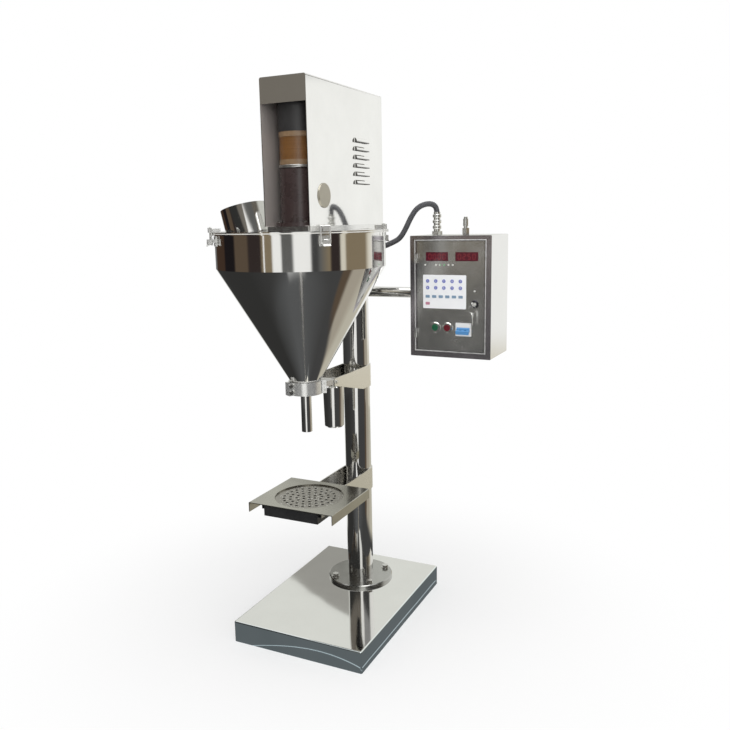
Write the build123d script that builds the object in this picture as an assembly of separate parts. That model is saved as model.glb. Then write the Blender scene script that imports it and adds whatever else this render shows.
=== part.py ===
from build123d import *
import os
from math import cos, degrees, pi, radians, sin, tan

# Auger powder filler, millimetres. +Z is up, the operator stands at -Y, the control box is at +X.
# The origin is the middle of the base's underside, on the floor.

os.makedirs("parts", exist_ok=True)

# Clearances shared by all fits
running_fit = 0.05
thread_fit = 0.05
weld_gap = 0.15
slide_gap = 0.3
moving_gap = 0.6
bolt_clearance = 0.4

# Base
base_width = 505
base_depth = 708
base_height = 78
base_sheet = 2.5
base_bend = 5
base_lip = 52
anchor_inset = 25
anchor_hole_r = 6.5
ballast_thickness = 16
ballast_inset = 46
rib_thickness = 10
rib_inset = 12
foot_bolt_length = 26

# Column
column_from_back = 196
column_r = 50
column_wall = 4
foot_flange_r = 125
foot_flange_thickness = 12
foot_bolt_circle_r = 104
foot_bolt_r = 7
foot_bolt_flats = 21
foot_bolt_head = 9
foot_washer_r = 14
foot_washer_thickness = 2.5
column_disc_r = 76
column_disc_thickness = 10
column_bolt_circle_r = 63

# Fasteners of the head and arms
bolt_circle_angle = 45
head_bolt_r = 4
head_bolt_flats = 12
head_bolt_head = 5.5
head_bolt_grip = 10
clamp_bolt_r = 5
clamp_bolt_flats = 16
clamp_bolt_head = 6.5
clamp_boss_r = 11
clamp_boss_length = 12
clamp_bolt_stand_out = 6

# Hopper, whose axis stands in front of the column
rim_to_column = 49
hopper_r = 275
hopper_wall = 2.5
hopper_band = 110
rim_z = 1438
rim_flange = 10
rim_thickness = 3
cone_bottom_z = 950
cone_bottom_r = 52
spigot_r = 46
spigot_wall = 2.5
outlet_joint_z = 927
outlet_flange_r = 51
outlet_flange_thickness = 5

# Lid and head plate
seal_thickness = 3
lid_thickness = 3
shaft_hole_r = 30
seal_flange = 6
seal_flange_thickness = 4
lid_bolt_x = 60
lid_bolt_back = 100
lid_bolt_front = -60
head_plate_thickness = 14
head_plate_inset = 4

# Inlet neck
inlet_from_rim = 32
inlet_to_cover = 20.5
inlet_ahead = 32
inlet_wall = 2.5
inlet_rise = 82
inlet_lean = 14

# Motor cover
cover_width = 165
cover_ahead = 81
cover_behind = 87
cover_height = 453
cover_sheet = 2
cover_bend = 6
cover_lip = 16
cover_header = 79
louvre_count = 6
louvre_length = 100
louvre_pitch = 28
louvre_height = 15
louvre_depth = 8
louvre_from_column = 93
louvre_low = 137
plug_r = 39
plug_hole_r = 35
plug_dome = 4
plug_ahead = 15
plug_rise = 95

# Drive
shaft_r = 15
housing_r = 60
housing_height = 182
housing_chamfer = 4
housing_flange_r = 77
housing_flange_thickness = 12
drive_bolt_circle_r = 68
bearing_r = 31
bearing_width = 16
bearing_groove = 3
housing_bore_r = 26
head_bore_r = 32
clutch_ring_r = 62
clutch_ring_height = 9
coil_r = 59
coil_height = 101
coil_bore_r = 24
coil_band = 16
coil_band_step = 1.5
motor_r = 60
motor_height = 125
motor_boss_r = 22
motor_boss_height = 14
motor_groove_count = 3
motor_groove_pitch = 14
motor_groove_depth = 1.5
motor_groove_width = 3

# Auger, agitator and metering tube
socket_r = 22
socket_drop = 20
socket_length = 70
socket_depth = 45
auger_shaft_r = 10
auger_core_r = 7
auger_flight_r = 15.5
auger_pitch = 28
auger_flight_thickness = 2.6
auger_top_z = 1000
auger_tip_inset = 5
agitator_bar = 24
agitator_thickness = 8
agitator_wall_gap = 18
agitator_low_z = 1016
agitator_drop = 10
agitator_hub_r = 19
agitator_hub_height = 34
tube_r = 18
tube_bore_r = 16
tube_tip_z = 772
tube_funnel_bottom_z = 906

# Outlet ring and hopper arm
ring_r = 57
ring_height = 44
ring_lug_length = 13
ring_lug_width = 26
ring_split = 2
ring_split_front = -120
ring_split_right = 30
ring_bolt_rise = 11
ring_bolt_from_ring = 7
tongue_width = 56
tongue_thickness = 18
tongue_back = 128
arm_top_z = 936
arm_front_back = 107
arm_bolt_inset = 12
strap_thickness = 4
strap_height = 82
arm_tip_height = 25
vibrator_back = 196
vibrator_top_r = 38.5
vibrator_bottom_r = 35
vibrator_length = 154
vibrator_drop = 12
vibrator_edge = 5
vibrator_stud_r = 6
vibrator_nut_flats = 19
vibrator_nut_height = 8
hanger_depth = 44
hanger_thickness = 6
hanger_drop = 24

# Toggle latches
latch_names = ("front_left", "front_right", "back_right", "back_left")
latch_first_angle = -135
latch_reach = 14
latch_pivot_drop = 20
latch_pin_r = 2.5
latch_lug_width = 11
latch_lug_r = 5
latch_base_width = 30
latch_base_rise = 14
latch_base_fall = 17
latch_base_thickness = 3
lever_cheek = 2.5
lever_width = 22
lever_plate = 3
lever_stand_off = 9
lever_length = 10
lever_curl = 6
bail_crank = 8
bail_wire_r = 2.5
bail_side_gap = 3
keeper_width = 18
keeper_height = 12
keeper_inside = 26
keeper_lip = 3
keeper_lip_gap = 1.8

# Tray and drawer
tray_top_z = 540
tray_width = 321
tray_front_ahead = 134
tray_back_behind = 143
tray_sheet = 2.5
tray_flange = 34
recess_r = 119
recess_depth = 5
recess_ledge = 10
disc_thickness = 2.5
disc_gap = 0.5
disc_hole_r = 5
disc_hole_pitch = 22
disc_hole_rings = 4
tray_tip_height = 30
bracket_drop = 10
tray_web_thickness = 4
tray_bolt_r = 3
tray_bolt_flats = 10
tray_bolt_head = 4
tray_bolt_x = 34
tray_bolt_drop = 18
drawer_width = 206
drawer_front_inset = 6
drawer_length = 246
drawer_bottom_z = 499
drawer_height = 26
drawer_wall = 2
drawer_lip = 9
drawer_front_gap = 1
runner_thickness = 2.5
runner_recess_gap = 1

# Control box and its arm
box_to_column = 211
box_ahead = 88
box_bottom_z = 1000
box_width = 290
box_depth = 199
box_height = 417
box_sheet = 2
box_bend = 3
frame_left = 24
frame_right = 22
frame_bottom = 22
frame_top = 17
box_arm_r = 19
box_arm_wall = 3
box_arm_z = 1213
arm_flange_r = 36
arm_flange_thickness = 5
arm_end_inside = 12
plate_standoff = 14
plate_margin = 24
plate_thickness = 2
standoff_r = 6
supply_width = 110
supply_height = 150
supply_depth = 45
driver_width = 86
driver_height = 150
driver_depth = 60
driver_fins = 6
fin_thickness = 3
fin_depth = 14
module_gap = 16
terminal_width = 190
terminal_height = 30
terminal_depth = 34
terminal_count = 9
terminal_slot = 10

# Door, whose rows of fittings are spread evenly and then lifted a little
row_lift = 8.5
door_gap = 1.5
door_sheet = 2
door_return = 13
hinge_stand_off = 4.5
hinge_r = 4
hinge_pin_r = 2
hinge_knuckle = 16
hinge_leaf = 11
hinge_leaf_thickness = 1.2
hinge_end_inset = 60
display_width = 80
display_height = 30
display_left_x = 98.5
display_right_x = 204.5
display_proud = 1
display_lens_depth = 4
lamp_r = 3
lamp_proud = 1.5
lamp_row_drop = 28
lamp_row_x = 95
lamp_pitch = 15
lamp_count = 5
power_lamp_x = 56
key_lamp_x = 233
key_lamp_rise = 44
keypad_left = 48
keypad_width = 155
keypad_height = 115
keypad_thickness = 1.2
key_r = 6
key_wide = 15
key_tall = 9
key_rise = 0.6
key_first_x = 17
key_pitch = 29.5
wide_key_pitch = 23.8
key_rows = (94, 71)
wide_key_row = 41
reset_key_row = 17
button_start_x = 93
button_stop_x = 137
button_rise = 4
button_r = 11.5
bezel_r = 18.5
bezel_height = 5
bezel_wall = 2.5
bezel_body_length = 24
button_proud = 3
button_length = 12
breaker_x = 194.5
breaker_width = 54
breaker_nose = 45
breaker_proud = 5
breaker_depth = 52
breaker_height = 80
breaker_fit = 0.5
toggle_drum_r = 8
toggle_lever = 12
toggle_lever_width = 9
toggle_lever_height = 7
toggle_bar = 4
toggle_bar_height = 14
toggle_sweep = 60
pole_count = 3
lock_x = 233
lock_rise = 18
lock_r = 11
lock_bezel_r = 14
lock_bezel_height = 4
lock_body_length = 22
lock_plug_r = 7
key_blade_width = 7
key_neck = 7
key_bow_r = 10
key_bow_thickness = 2.2
key_bow_hole_r = 3.5
key_ring_r = 13
key_ring_wire_r = 0.9
spare_key_length = 34
board_width = 200
board_thickness = 1.6
board_left = 44
board_gap = 9
board_over_display = 16
board_over_lock = 2.5
board_post_r = 3.5
board_post_inset = 8

# Glands and conduit
conduit_r = 10
conduit_arc_share = 0.45
gland_from_left = 37.3
gland_from_back = 33
gland_r = 17
gland_flange_height = 12
gland_neck_r = 12.5
gland_collar_r = 16
gland_collar_height = 12
gland_collar_gap = 8
gland_collar_edge = 3
gland_collar_count = 3
gland_total = 80
gland_cup_depth = 16
blank_gland_pitch = 107.7
blank_gland_r = 11
blank_flange_height = 22
blank_cap_r = 9.5
blank_cap_low = 28
blank_cap_high = 54
blank_stub_r = 7
blank_stub_top = 61
column_gland_z = 1376
column_gland_r = 15
column_gland_length = 28

# Levels and places worked out from the driving dimensions
rim_r = hopper_r + rim_flange
column_y = base_depth / 2 - column_from_back
fill_y = column_y - column_r - rim_to_column - rim_r
inlet_r = (rim_r - inlet_from_rim - inlet_to_cover - cover_width / 2) / 2
inlet_x = inlet_r + inlet_from_rim - rim_r
inlet_y = fill_y - inlet_ahead
lid_bottom_z = rim_z + seal_thickness
lid_top_z = lid_bottom_z + lid_thickness
head_top_z = lid_top_z + head_plate_thickness
cover_top_z = head_top_z + cover_height
cover_front_y = fill_y - cover_ahead
cover_back_y = column_y + cover_behind
housing_top_z = head_top_z + housing_height
coil_bottom_z = housing_top_z + clutch_ring_height
motor_bottom_z = coil_bottom_z + coil_height
cone_top_z = rim_z - hopper_band
cone_slope = (hopper_r - cone_bottom_r) / (cone_top_z - cone_bottom_z)
ring_bottom_z = outlet_joint_z - ring_height / 2
ring_top_z = outlet_joint_z + ring_height / 2
strap_inner = column_r + slide_gap
strap_outer = strap_inner + strap_thickness
tray_front_y = fill_y - tray_front_ahead
tray_back_y = fill_y + tray_back_behind
tray_under_z = tray_top_z - tray_sheet
box_x = column_r + box_to_column
box_front_y = column_y - box_ahead
box_top_z = box_bottom_z + box_height
box_back_y = box_front_y + box_depth
gland_x = box_x + gland_from_left
gland_y = box_back_y - gland_from_back
blank_gland_x = gland_x + blank_gland_pitch
rows = (breaker_nose, keypad_height, display_height)
row_gap = (box_height - frame_bottom - frame_top - sum(rows)) / (len(rows) + 1)
breaker_z = frame_bottom + row_gap + row_lift + breaker_nose / 2
keypad_bottom = breaker_z + breaker_nose / 2 + row_gap
display_z = keypad_bottom + keypad_height + row_gap + display_height / 2
lamp_row_z = display_z - lamp_row_drop
button_z = breaker_z + button_rise
lock_z = keypad_bottom + lock_rise
key_lamp_z = lock_z + key_lamp_rise
board_bottom = lock_z + lock_r + board_over_lock
board_height = display_z + display_height / 2 + board_over_display - board_bottom
louvre_y = column_y - louvre_from_column
louvre_bottom_z = head_top_z + louvre_low
bracket_top_z = tray_top_z - bracket_drop
conduit_low_z = box_top_z + gland_total - gland_cup_depth + slide_gap
conduit_route = [
    (gland_x, gland_y, conduit_low_z), (gland_x, gland_y, 1508), (287.5, 222.5, 1525.5),
    (264, 202.5, 1525.5), (238, 191.5, 1511), (217.5, 184.8, 1480), (198.5, 178.5, 1437),
    (179, 173, 1405), (153, 166.5, 1391), (118, column_y, column_gland_z),
    (column_r + column_gland_length, column_y, column_gland_z),
]

standing = (Align.CENTER, Align.CENTER, Align.MIN)


# Small shapes used by many pieces
def block(x, y, z):
    """A box between two values on each axis."""
    centre = Pos((x[0] + x[1]) / 2, (y[0] + y[1]) / 2, (z[0] + z[1]) / 2)
    return centre * Box(x[1] - x[0], y[1] - y[0], z[1] - z[0])


def disc(x, y, r, z):
    """An upright cylinder between two heights."""
    return Pos(x, y, z[0]) * Cylinder(r, z[1] - z[0], align=standing)


def rod(start, end, r):
    """A cylinder between two points."""
    along = Vector(*end) - Vector(*start)
    return Plane(origin=start, z_dir=along) * Cylinder(r, along.length, align=standing)


def turned(points, x=0, y=0):
    """A solid of revolution about an upright axis, from (radius, height) points."""
    outline = make_face(Plane.XZ * Polyline(*points, close=True))
    return Pos(x, y, 0) * revolve(outline, axis=Axis.Z)


def bolt(seat, out, shank_r, length, flats, head):
    """A hex bolt whose head stands on seat and points along out."""
    frame = Plane(origin=seat, z_dir=out)
    cap = extrude(RegularPolygon(flats / 2, 6, major_radius=False), amount=head)
    shank = Pos(0, 0, -length) * Cylinder(shank_r, length, align=standing)
    return frame * (cap + shank)


def circle_points(count, r, x=0, y=0, start=bolt_circle_angle):
    """Points evenly spread on a circle."""
    turns = [radians(start + 360 * index / count) for index in range(count)]
    return [(x + r * cos(turn), y + r * sin(turn)) for turn in turns]


def save(name, *pieces):
    """Write one node, whose pieces stay separate solids."""
    solids = [solid for piece in pieces for solid in piece.solids()]
    shape = solids[0] if len(solids) == 1 else Compound(solids)
    export_step(shape, f"parts/{name}.step")


# Base: folded sheet tray over a welded steel frame
half_width = base_width / 2
half_depth = base_depth / 2
foot_bolt_places = circle_points(4, foot_bolt_circle_r, 0, column_y)
base_top_inside_z = base_height - base_sheet


def make_base_cover():
    shell = block((-half_width, half_width), (-half_depth, half_depth), (0, base_height))
    bent = shell.edges().filter_by(Axis.Z) + shell.edges().group_by(Axis.Z)[-1]
    shell = fillet(bent, base_bend)
    inside_x = half_width - base_sheet
    inside_y = half_depth - base_sheet
    shell -= block((-inside_x, inside_x), (-inside_y, inside_y), (base_sheet, base_top_inside_z))
    mouth_x = half_width - base_lip
    mouth_y = half_depth - base_lip
    shell -= block((-mouth_x, mouth_x), (-mouth_y, mouth_y), (0, base_sheet))
    for x in (-1, 1):
        for y in (-1, 1):
            place = (x * (half_width - anchor_inset), y * (half_depth - anchor_inset))
            shell -= disc(*place, anchor_hole_r, (0, base_sheet))
    for place in foot_bolt_places:
        shell -= disc(*place, foot_bolt_r + bolt_clearance, (base_top_inside_z, base_height))
    return shell


def make_base_frame():
    plate_x = half_width - base_sheet - ballast_inset
    plate_y = half_depth - base_sheet - ballast_inset
    plate_z = base_top_inside_z - ballast_thickness
    frame = block((-plate_x, plate_x), (-plate_y, plate_y), (plate_z, base_top_inside_z))
    long_x = half_width - base_lip + rib_inset
    cross_y = half_depth - base_lip + rib_inset
    for side in (-1, 1):
        edges = sorted((side * (long_x - rib_thickness), side * long_x))
        frame += block(edges, (-plate_y, plate_y), (base_sheet, base_top_inside_z))
        edges = sorted((side * (cross_y - rib_thickness), side * cross_y))
        frame += block((-plate_x, plate_x), edges, (base_sheet, base_top_inside_z))
    for place in foot_bolt_places:
        frame -= disc(*place, foot_bolt_r + thread_fit, (plate_z, base_top_inside_z))
    return frame


save("base_cover", make_base_cover())
save("base_frame", make_base_frame())

# Column with its foot flange and top disc
column_bolt_places = circle_points(4, column_bolt_circle_r, 0, column_y)
foot_top_z = base_height + foot_flange_thickness
column_disc_z = lid_top_z - column_disc_thickness


def make_column():
    tube = disc(0, column_y, column_r, (base_height, lid_top_z))
    tube += disc(0, column_y, column_disc_r, (column_disc_z, lid_top_z))
    tube -= disc(0, column_y, column_r - column_wall, (base_height, column_disc_z))
    for place in column_bolt_places:
        tube -= disc(*place, head_bolt_r + bolt_clearance, (column_disc_z, lid_top_z))
    tube -= rod((0, column_y, column_gland_z), (column_r, column_y, column_gland_z), conduit_r)
    return tube


def make_column_flange():
    flange = disc(0, column_y, foot_flange_r, (base_height, foot_top_z))
    flange = chamfer(flange.edges().group_by(Axis.Z)[-1], foot_washer_thickness)
    flange -= disc(0, column_y, column_r + weld_gap, (base_height, foot_top_z))
    for place in foot_bolt_places:
        flange -= disc(*place, foot_bolt_r + bolt_clearance, (base_height, foot_top_z))
    return flange


def make_flange_bolt(place):
    washer = disc(*place, foot_washer_r, (foot_top_z, foot_top_z + foot_washer_thickness))
    seat = (*place, foot_top_z + foot_washer_thickness)
    shank = foot_washer_thickness + foot_flange_thickness + foot_bolt_length - ballast_thickness / 2
    return washer + bolt(seat, (0, 0, 1), foot_bolt_r, shank, foot_bolt_flats, foot_bolt_head)


save("column", make_column())
save("column_flange", make_column_flange())
save("flange_bolts", *[make_flange_bolt(place) for place in foot_bolt_places])

# Head plate on the column's top, with the drive above it and the lid below it
drive_bolt_places = circle_points(4, drive_bolt_circle_r, 0, fill_y)
lid_bolt_places = [
    (side * lid_bolt_x, fill_y + along)
    for side in (-1, 1)
    for along in (lid_bolt_front, lid_bolt_back)
]


def make_head_plate():
    half = cover_width / 2 - head_plate_inset
    depth = (cover_front_y + head_plate_inset, cover_back_y - head_plate_inset)
    plate = block((-half, half), depth, (lid_top_z, head_top_z))
    plate = fillet(plate.edges().filter_by(Axis.Z), cover_bend)
    plate -= disc(0, fill_y, head_bore_r, (lid_top_z, head_top_z))
    for place in drive_bolt_places + lid_bolt_places:
        plate -= disc(*place, head_bolt_r + thread_fit, (lid_top_z, head_top_z))
    for place in column_bolt_places:
        plate -= disc(*place, head_bolt_r + bolt_clearance, (lid_top_z, head_top_z))
    return plate


save("head_plate", make_head_plate())


# Motor cover: folded sheet, open at the front below the header
def louvre_hood(offset):
    """The hood of one louvre, smaller all round by offset, leaning out of the right wall."""
    wall = cover_width / 2
    depth = louvre_depth - offset
    rise = louvre_height - offset
    swell = (wall + depth * sin(pi / 4), rise * cos(pi / 4))
    side = make_face(
        Polyline((wall - cover_sheet, 0), (wall - cover_sheet, rise), (wall, rise))
        + ThreePointArc((wall, rise), swell, (wall + depth, 0))
        + Line((wall + depth, 0), (wall - cover_sheet, 0))
    )
    return extrude(Plane.XZ * side, amount=louvre_length / 2 - offset, both=True)


def make_motor_cover():
    half = cover_width / 2
    depth = (cover_front_y, cover_back_y)
    shell = block((-half, half), depth, (head_top_z, cover_top_z))
    top = shell.edges().group_by(Axis.Z)[-1].filter_by(Axis.Y)
    back = shell.edges().filter_by(Axis.Z).group_by(Axis.Y)[-1]
    shell = fillet(top + back, cover_bend)
    inside = half - cover_sheet
    back_y = cover_back_y - cover_sheet
    inside_y = cover_front_y + cover_sheet
    floor_z = head_top_z + cover_sheet
    shell -= block((-inside, inside), (inside_y, back_y), (floor_z, cover_top_z - cover_sheet))
    front_top_z = cover_top_z - cover_header
    shell -= block((-inside, inside), (cover_front_y, inside_y), (head_top_z, front_top_z))
    mouth = inside - cover_lip
    shell -= block((-mouth, mouth), (cover_front_y, back_y - cover_lip), (head_top_z, floor_z))
    shell -= disc(0, fill_y, housing_flange_r + moving_gap, (head_top_z, floor_z))
    for row in range(louvre_count):
        place = Pos(0, louvre_y, louvre_bottom_z + row * louvre_pitch)
        for flip in (0, 180):
            turn = Pos(0, louvre_y, 0) * Rot(0, 0, flip) * Pos(0, -louvre_y, 0)
            shell += turn * place * louvre_hood(0)
            shell -= turn * place * louvre_hood(cover_sheet / 2)
    plug_place = (fill_y + plug_ahead, head_top_z + plug_rise)
    shell -= rod((inside, *plug_place), (half, *plug_place), plug_hole_r)
    return shell


def make_cover_plug():
    cap = disc(0, 0, plug_r, (0, plug_dome))
    cap = fillet(cap.edges().group_by(Axis.Z)[-1], plug_dome / 2)
    cap += disc(0, 0, plug_hole_r - slide_gap, (-cover_sheet, 0))
    centre = (cover_width / 2, fill_y + plug_ahead, head_top_z + plug_rise)
    return Plane(origin=centre, z_dir=(1, 0, 0)) * cap


save("motor_cover", make_motor_cover())
save("cover_plug", make_cover_plug())


# Drive: spindle housing with two bearings, clutch-brake and motor on the filling axis
def make_spindle_housing():
    flange_z = head_top_z + housing_flange_thickness
    low_seat_z = head_top_z + bearing_width
    high_seat_z = housing_top_z - bearing_width
    seat_r = bearing_r + running_fit
    housing = turned(
        [
            (seat_r, head_top_z), (housing_flange_r, head_top_z), (housing_flange_r, flange_z),
            (housing_r, flange_z), (housing_r, housing_top_z - housing_chamfer),
            (housing_r - housing_chamfer, housing_top_z), (seat_r, housing_top_z),
            (seat_r, high_seat_z), (housing_bore_r, high_seat_z), (housing_bore_r, low_seat_z),
            (seat_r, low_seat_z),
        ],
        0, fill_y,
    )
    for place in drive_bolt_places:
        housing -= disc(*place, head_bolt_r + bolt_clearance, (head_top_z, flange_z))
    return housing


def make_bearing(bottom_z):
    top_z = bottom_z + bearing_width
    inner = shaft_r + running_fit
    groove_in = (inner + bearing_r) / 2 - bearing_groove
    groove_out = groove_in + 2 * bearing_groove
    groove_z = top_z - bearing_groove
    return turned(
        [
            (inner, bottom_z), (bearing_r, bottom_z), (bearing_r, top_z), (groove_out, top_z),
            (groove_out, groove_z), (groove_in, groove_z), (groove_in, top_z), (inner, top_z),
        ],
        0, fill_y,
    )


def make_clutch_ring():
    ring = disc(0, fill_y, clutch_ring_r, (housing_top_z, coil_bottom_z))
    ring = fillet(ring.edges().filter_by(GeomType.CIRCLE), clutch_ring_height / 4)
    return ring - disc(0, fill_y, coil_bore_r, (housing_top_z, coil_bottom_z))


def make_clutch_coil():
    waist = coil_r - coil_band_step
    low_z = coil_bottom_z + coil_band
    high_z = motor_bottom_z - coil_band
    return turned(
        [
            (coil_bore_r, coil_bottom_z), (coil_r, coil_bottom_z), (coil_r, low_z), (waist, low_z),
            (waist, high_z), (coil_r, high_z), (coil_r, motor_bottom_z), (coil_bore_r, motor_bottom_z),
        ],
        0, fill_y,
    )


def make_drive_motor():
    top_z = motor_bottom_z + motor_height
    motor = disc(0, fill_y, motor_r, (motor_bottom_z, top_z))
    motor = fillet(motor.edges().group_by(Axis.Z)[-1], housing_chamfer)
    motor += disc(0, fill_y, motor_boss_r, (top_z, top_z + motor_boss_height))
    for index in range(motor_groove_count):
        groove_z = top_z - motor_groove_pitch * (index + 1)
        span = (groove_z, groove_z + motor_groove_width)
        motor -= disc(0, fill_y, motor_r, span) - disc(0, fill_y, motor_r - motor_groove_depth, span)
    return motor


save("spindle_housing", make_spindle_housing())
save("spindle_bearings", make_bearing(head_top_z), make_bearing(housing_top_z - bearing_width))
save("clutch_ring", make_clutch_ring())
save("clutch_coil", make_clutch_coil())
save("drive_motor", make_drive_motor())

# Spindle, auger and agitator turn together
socket_top_z = lid_bottom_z - socket_drop
socket_bottom_z = socket_top_z - socket_length
auger_bottom_z = tube_tip_z + auger_tip_inset


def make_spindle_shaft():
    shaft = disc(0, fill_y, shaft_r, (socket_top_z, motor_bottom_z - slide_gap))
    shaft += disc(0, fill_y, socket_r, (socket_bottom_z, socket_top_z))
    bore_z = (socket_bottom_z, socket_bottom_z + socket_depth)
    return shaft - disc(0, fill_y, auger_shaft_r + running_fit, bore_z)


def make_auger_screw():
    height = auger_top_z - auger_bottom_z
    half_sweep = 180 * auger_flight_thickness / auger_pitch
    reach = 2 * auger_flight_r
    edges = [
        (reach * cos(radians(side * half_sweep)), reach * sin(radians(side * half_sweep)))
        for side in (-1, 1)
    ]
    blade = Circle(auger_flight_r) & make_face(Polyline((0, 0), *edges, close=True))
    section = (Circle(auger_core_r) + blade).face()
    turns = 360 * height / auger_pitch
    screw = Solid.extrude_linear_with_rotation(section, (0, 0, 0), (0, 0, height), turns)
    screw = Pos(0, fill_y, auger_bottom_z) * screw
    return screw + disc(0, fill_y, auger_shaft_r, (auger_top_z, socket_bottom_z + socket_depth))


def cone_inside_r(z):
    return cone_bottom_r - hopper_wall + cone_slope * (z - cone_bottom_z)


def make_agitator():
    high_z = cone_top_z - agitator_drop
    high_r = cone_inside_r(high_z) - agitator_wall_gap
    low_r = cone_inside_r(agitator_low_z) - agitator_wall_gap
    high_corners = [(-high_r, high_z), (high_r, high_z)]
    low_corners = [(low_r, agitator_low_z), (-low_r, agitator_low_z)]
    outline = make_face(Polyline(*high_corners, *low_corners, close=True))
    window = offset(outline, -agitator_bar, kind=Kind.INTERSECTION)
    frame = extrude(Plane.XZ * (outline - window), amount=agitator_thickness / 2, both=True)
    high_hub = (high_z - agitator_hub_height, high_z)
    low_hub = (agitator_low_z, agitator_low_z + agitator_hub_height)
    for span in (high_hub, low_hub):
        frame += disc(0, 0, agitator_hub_r, span)
    frame -= disc(0, 0, auger_shaft_r + running_fit, (agitator_low_z, high_z))
    return Pos(0, fill_y, 0) * frame


save("spindle_shaft", make_spindle_shaft())
save("auger_screw", make_auger_screw())
save("agitator", make_agitator())

# Lid, its inlet neck and its seals
inlet_place = Pos(inlet_x, inlet_y, lid_top_z) * Rot(0, -inlet_lean, 0)


def make_hopper_lid():
    lid = disc(0, fill_y, rim_r, (lid_bottom_z, lid_top_z))
    lid -= disc(0, fill_y, shaft_hole_r, (lid_bottom_z, lid_top_z))
    lid -= inlet_place * Cylinder(inlet_r - inlet_wall, inlet_rise)
    for place in lid_bolt_places:
        lid -= disc(*place, head_bolt_r + bolt_clearance, (lid_bottom_z, lid_top_z))
    return lid


def make_inlet_neck():
    neck = Cylinder(inlet_r, 2 * inlet_rise) - Cylinder(inlet_r - inlet_wall, 2 * inlet_rise)
    reach = 2 * inlet_r
    below_x = (inlet_x - reach, inlet_x + reach)
    below_y = (inlet_y - reach, inlet_y + reach)
    return inlet_place * neck - block(below_x, below_y, (lid_top_z - reach, lid_top_z))


def make_rim_seal():
    ring = disc(0, fill_y, rim_r, (rim_z, lid_bottom_z))
    return ring - disc(0, fill_y, hopper_r - hopper_wall, (rim_z, lid_bottom_z))


def make_shaft_seal():
    flange_r = shaft_hole_r + seal_flange
    inner_r = shaft_r + slide_gap
    flange_z = lid_bottom_z - seal_flange_thickness
    collar_r = shaft_hole_r - running_fit
    return turned(
        [
            (inner_r, flange_z), (flange_r, flange_z), (flange_r, lid_bottom_z),
            (collar_r, lid_bottom_z), (collar_r, lid_top_z), (inner_r, lid_top_z),
        ],
        0, fill_y,
    )


save("hopper_lid", make_hopper_lid())
save("inlet_neck", make_inlet_neck())
save("lid_seals", make_rim_seal(), make_shaft_seal())


# Hopper shell and metering tube, joined flange to flange
def make_hopper():
    inside_r = hopper_r - hopper_wall
    spigot_in_r = spigot_r - spigot_wall
    flange_top_z = outlet_joint_z + outlet_flange_thickness
    return turned(
        [
            (inside_r, rim_z), (rim_r, rim_z), (rim_r, rim_z - rim_thickness),
            (hopper_r, rim_z - rim_thickness), (hopper_r, cone_top_z), (cone_bottom_r, cone_bottom_z),
            (spigot_r, cone_bottom_z), (spigot_r, flange_top_z), (outlet_flange_r, flange_top_z),
            (outlet_flange_r, outlet_joint_z), (spigot_in_r, outlet_joint_z),
            (spigot_in_r, cone_bottom_z + hopper_wall), (inside_r, cone_top_z),
        ],
        0, fill_y,
    )


def make_metering_tube():
    flange_bottom_z = outlet_joint_z - outlet_flange_thickness
    funnel_r = spigot_r - spigot_wall
    wall = tube_r - tube_bore_r
    return turned(
        [
            (funnel_r, outlet_joint_z), (outlet_flange_r, outlet_joint_z),
            (outlet_flange_r, flange_bottom_z), (funnel_r - wall, flange_bottom_z),
            (tube_r, tube_funnel_bottom_z), (tube_r, tube_tip_z), (tube_bore_r, tube_tip_z),
            (tube_bore_r, tube_funnel_bottom_z + wall),
        ],
        0, fill_y,
    )


save("hopper", make_hopper())
save("metering_tube", make_metering_tube())

# Split clamp ring: the rear part has the tongue that the arm holds
ring_lug_r = ring_r + ring_bolt_from_ring
ring_bolt_heights = (outlet_joint_z - ring_bolt_rise, outlet_joint_z + ring_bolt_rise)


def at_ring(angle):
    return Pos(0, fill_y, 0) * Rot(0, 0, angle)


def make_outlet_ring():
    groove_r = outlet_flange_r + slide_gap
    lip_r = spigot_r + slide_gap
    groove_z = outlet_flange_thickness + slide_gap
    ring = turned(
        [
            (lip_r, ring_bottom_z), (ring_r, ring_bottom_z), (ring_r, ring_top_z), (lip_r, ring_top_z),
            (lip_r, outlet_joint_z + groove_z), (groove_r, outlet_joint_z + groove_z),
            (groove_r, outlet_joint_z - groove_z), (lip_r, outlet_joint_z - groove_z),
        ],
        0, fill_y,
    )
    half_lug = ring_lug_width / 2
    lug_x = (spigot_r + outlet_flange_thickness, ring_r + ring_lug_length)
    for angle in (ring_split_front, ring_split_right):
        lug = block(lug_x, (-half_lug, half_lug), (ring_bottom_z, ring_top_z))
        lug -= disc(0, 0, groove_r, (ring_bottom_z, ring_top_z))
        for z in ring_bolt_heights:
            hole_r = head_bolt_r + thread_fit
            lug -= rod((ring_lug_r, -half_lug, z), (ring_lug_r, half_lug, z), hole_r)
        ring += at_ring(angle) * lug
    back_y = fill_y + tongue_back
    inner = strap_inner - slide_gap
    neck_y = fill_y + ring_r - ring_lug_length
    tongue = make_face(
        Polyline(
            (-tongue_width / 2, neck_y), (tongue_width / 2, neck_y), (inner, fill_y + arm_front_back),
            (inner, back_y), (-inner, back_y), (-inner, fill_y + arm_front_back), close=True,
        )
    )
    half = tongue_thickness / 2
    tongue_z = arm_top_z - arm_tip_height / 2
    tongue = Pos(0, 0, tongue_z - half) * extrude(tongue, amount=tongue_thickness)
    tongue -= disc(0, fill_y, groove_r, (ring_bottom_z, ring_top_z))
    bolt_y = fill_y + arm_front_back + arm_bolt_inset
    tongue -= rod((-inner, bolt_y, tongue_z), (inner, bolt_y, tongue_z), head_bolt_r + thread_fit)
    return ring + tongue


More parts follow.
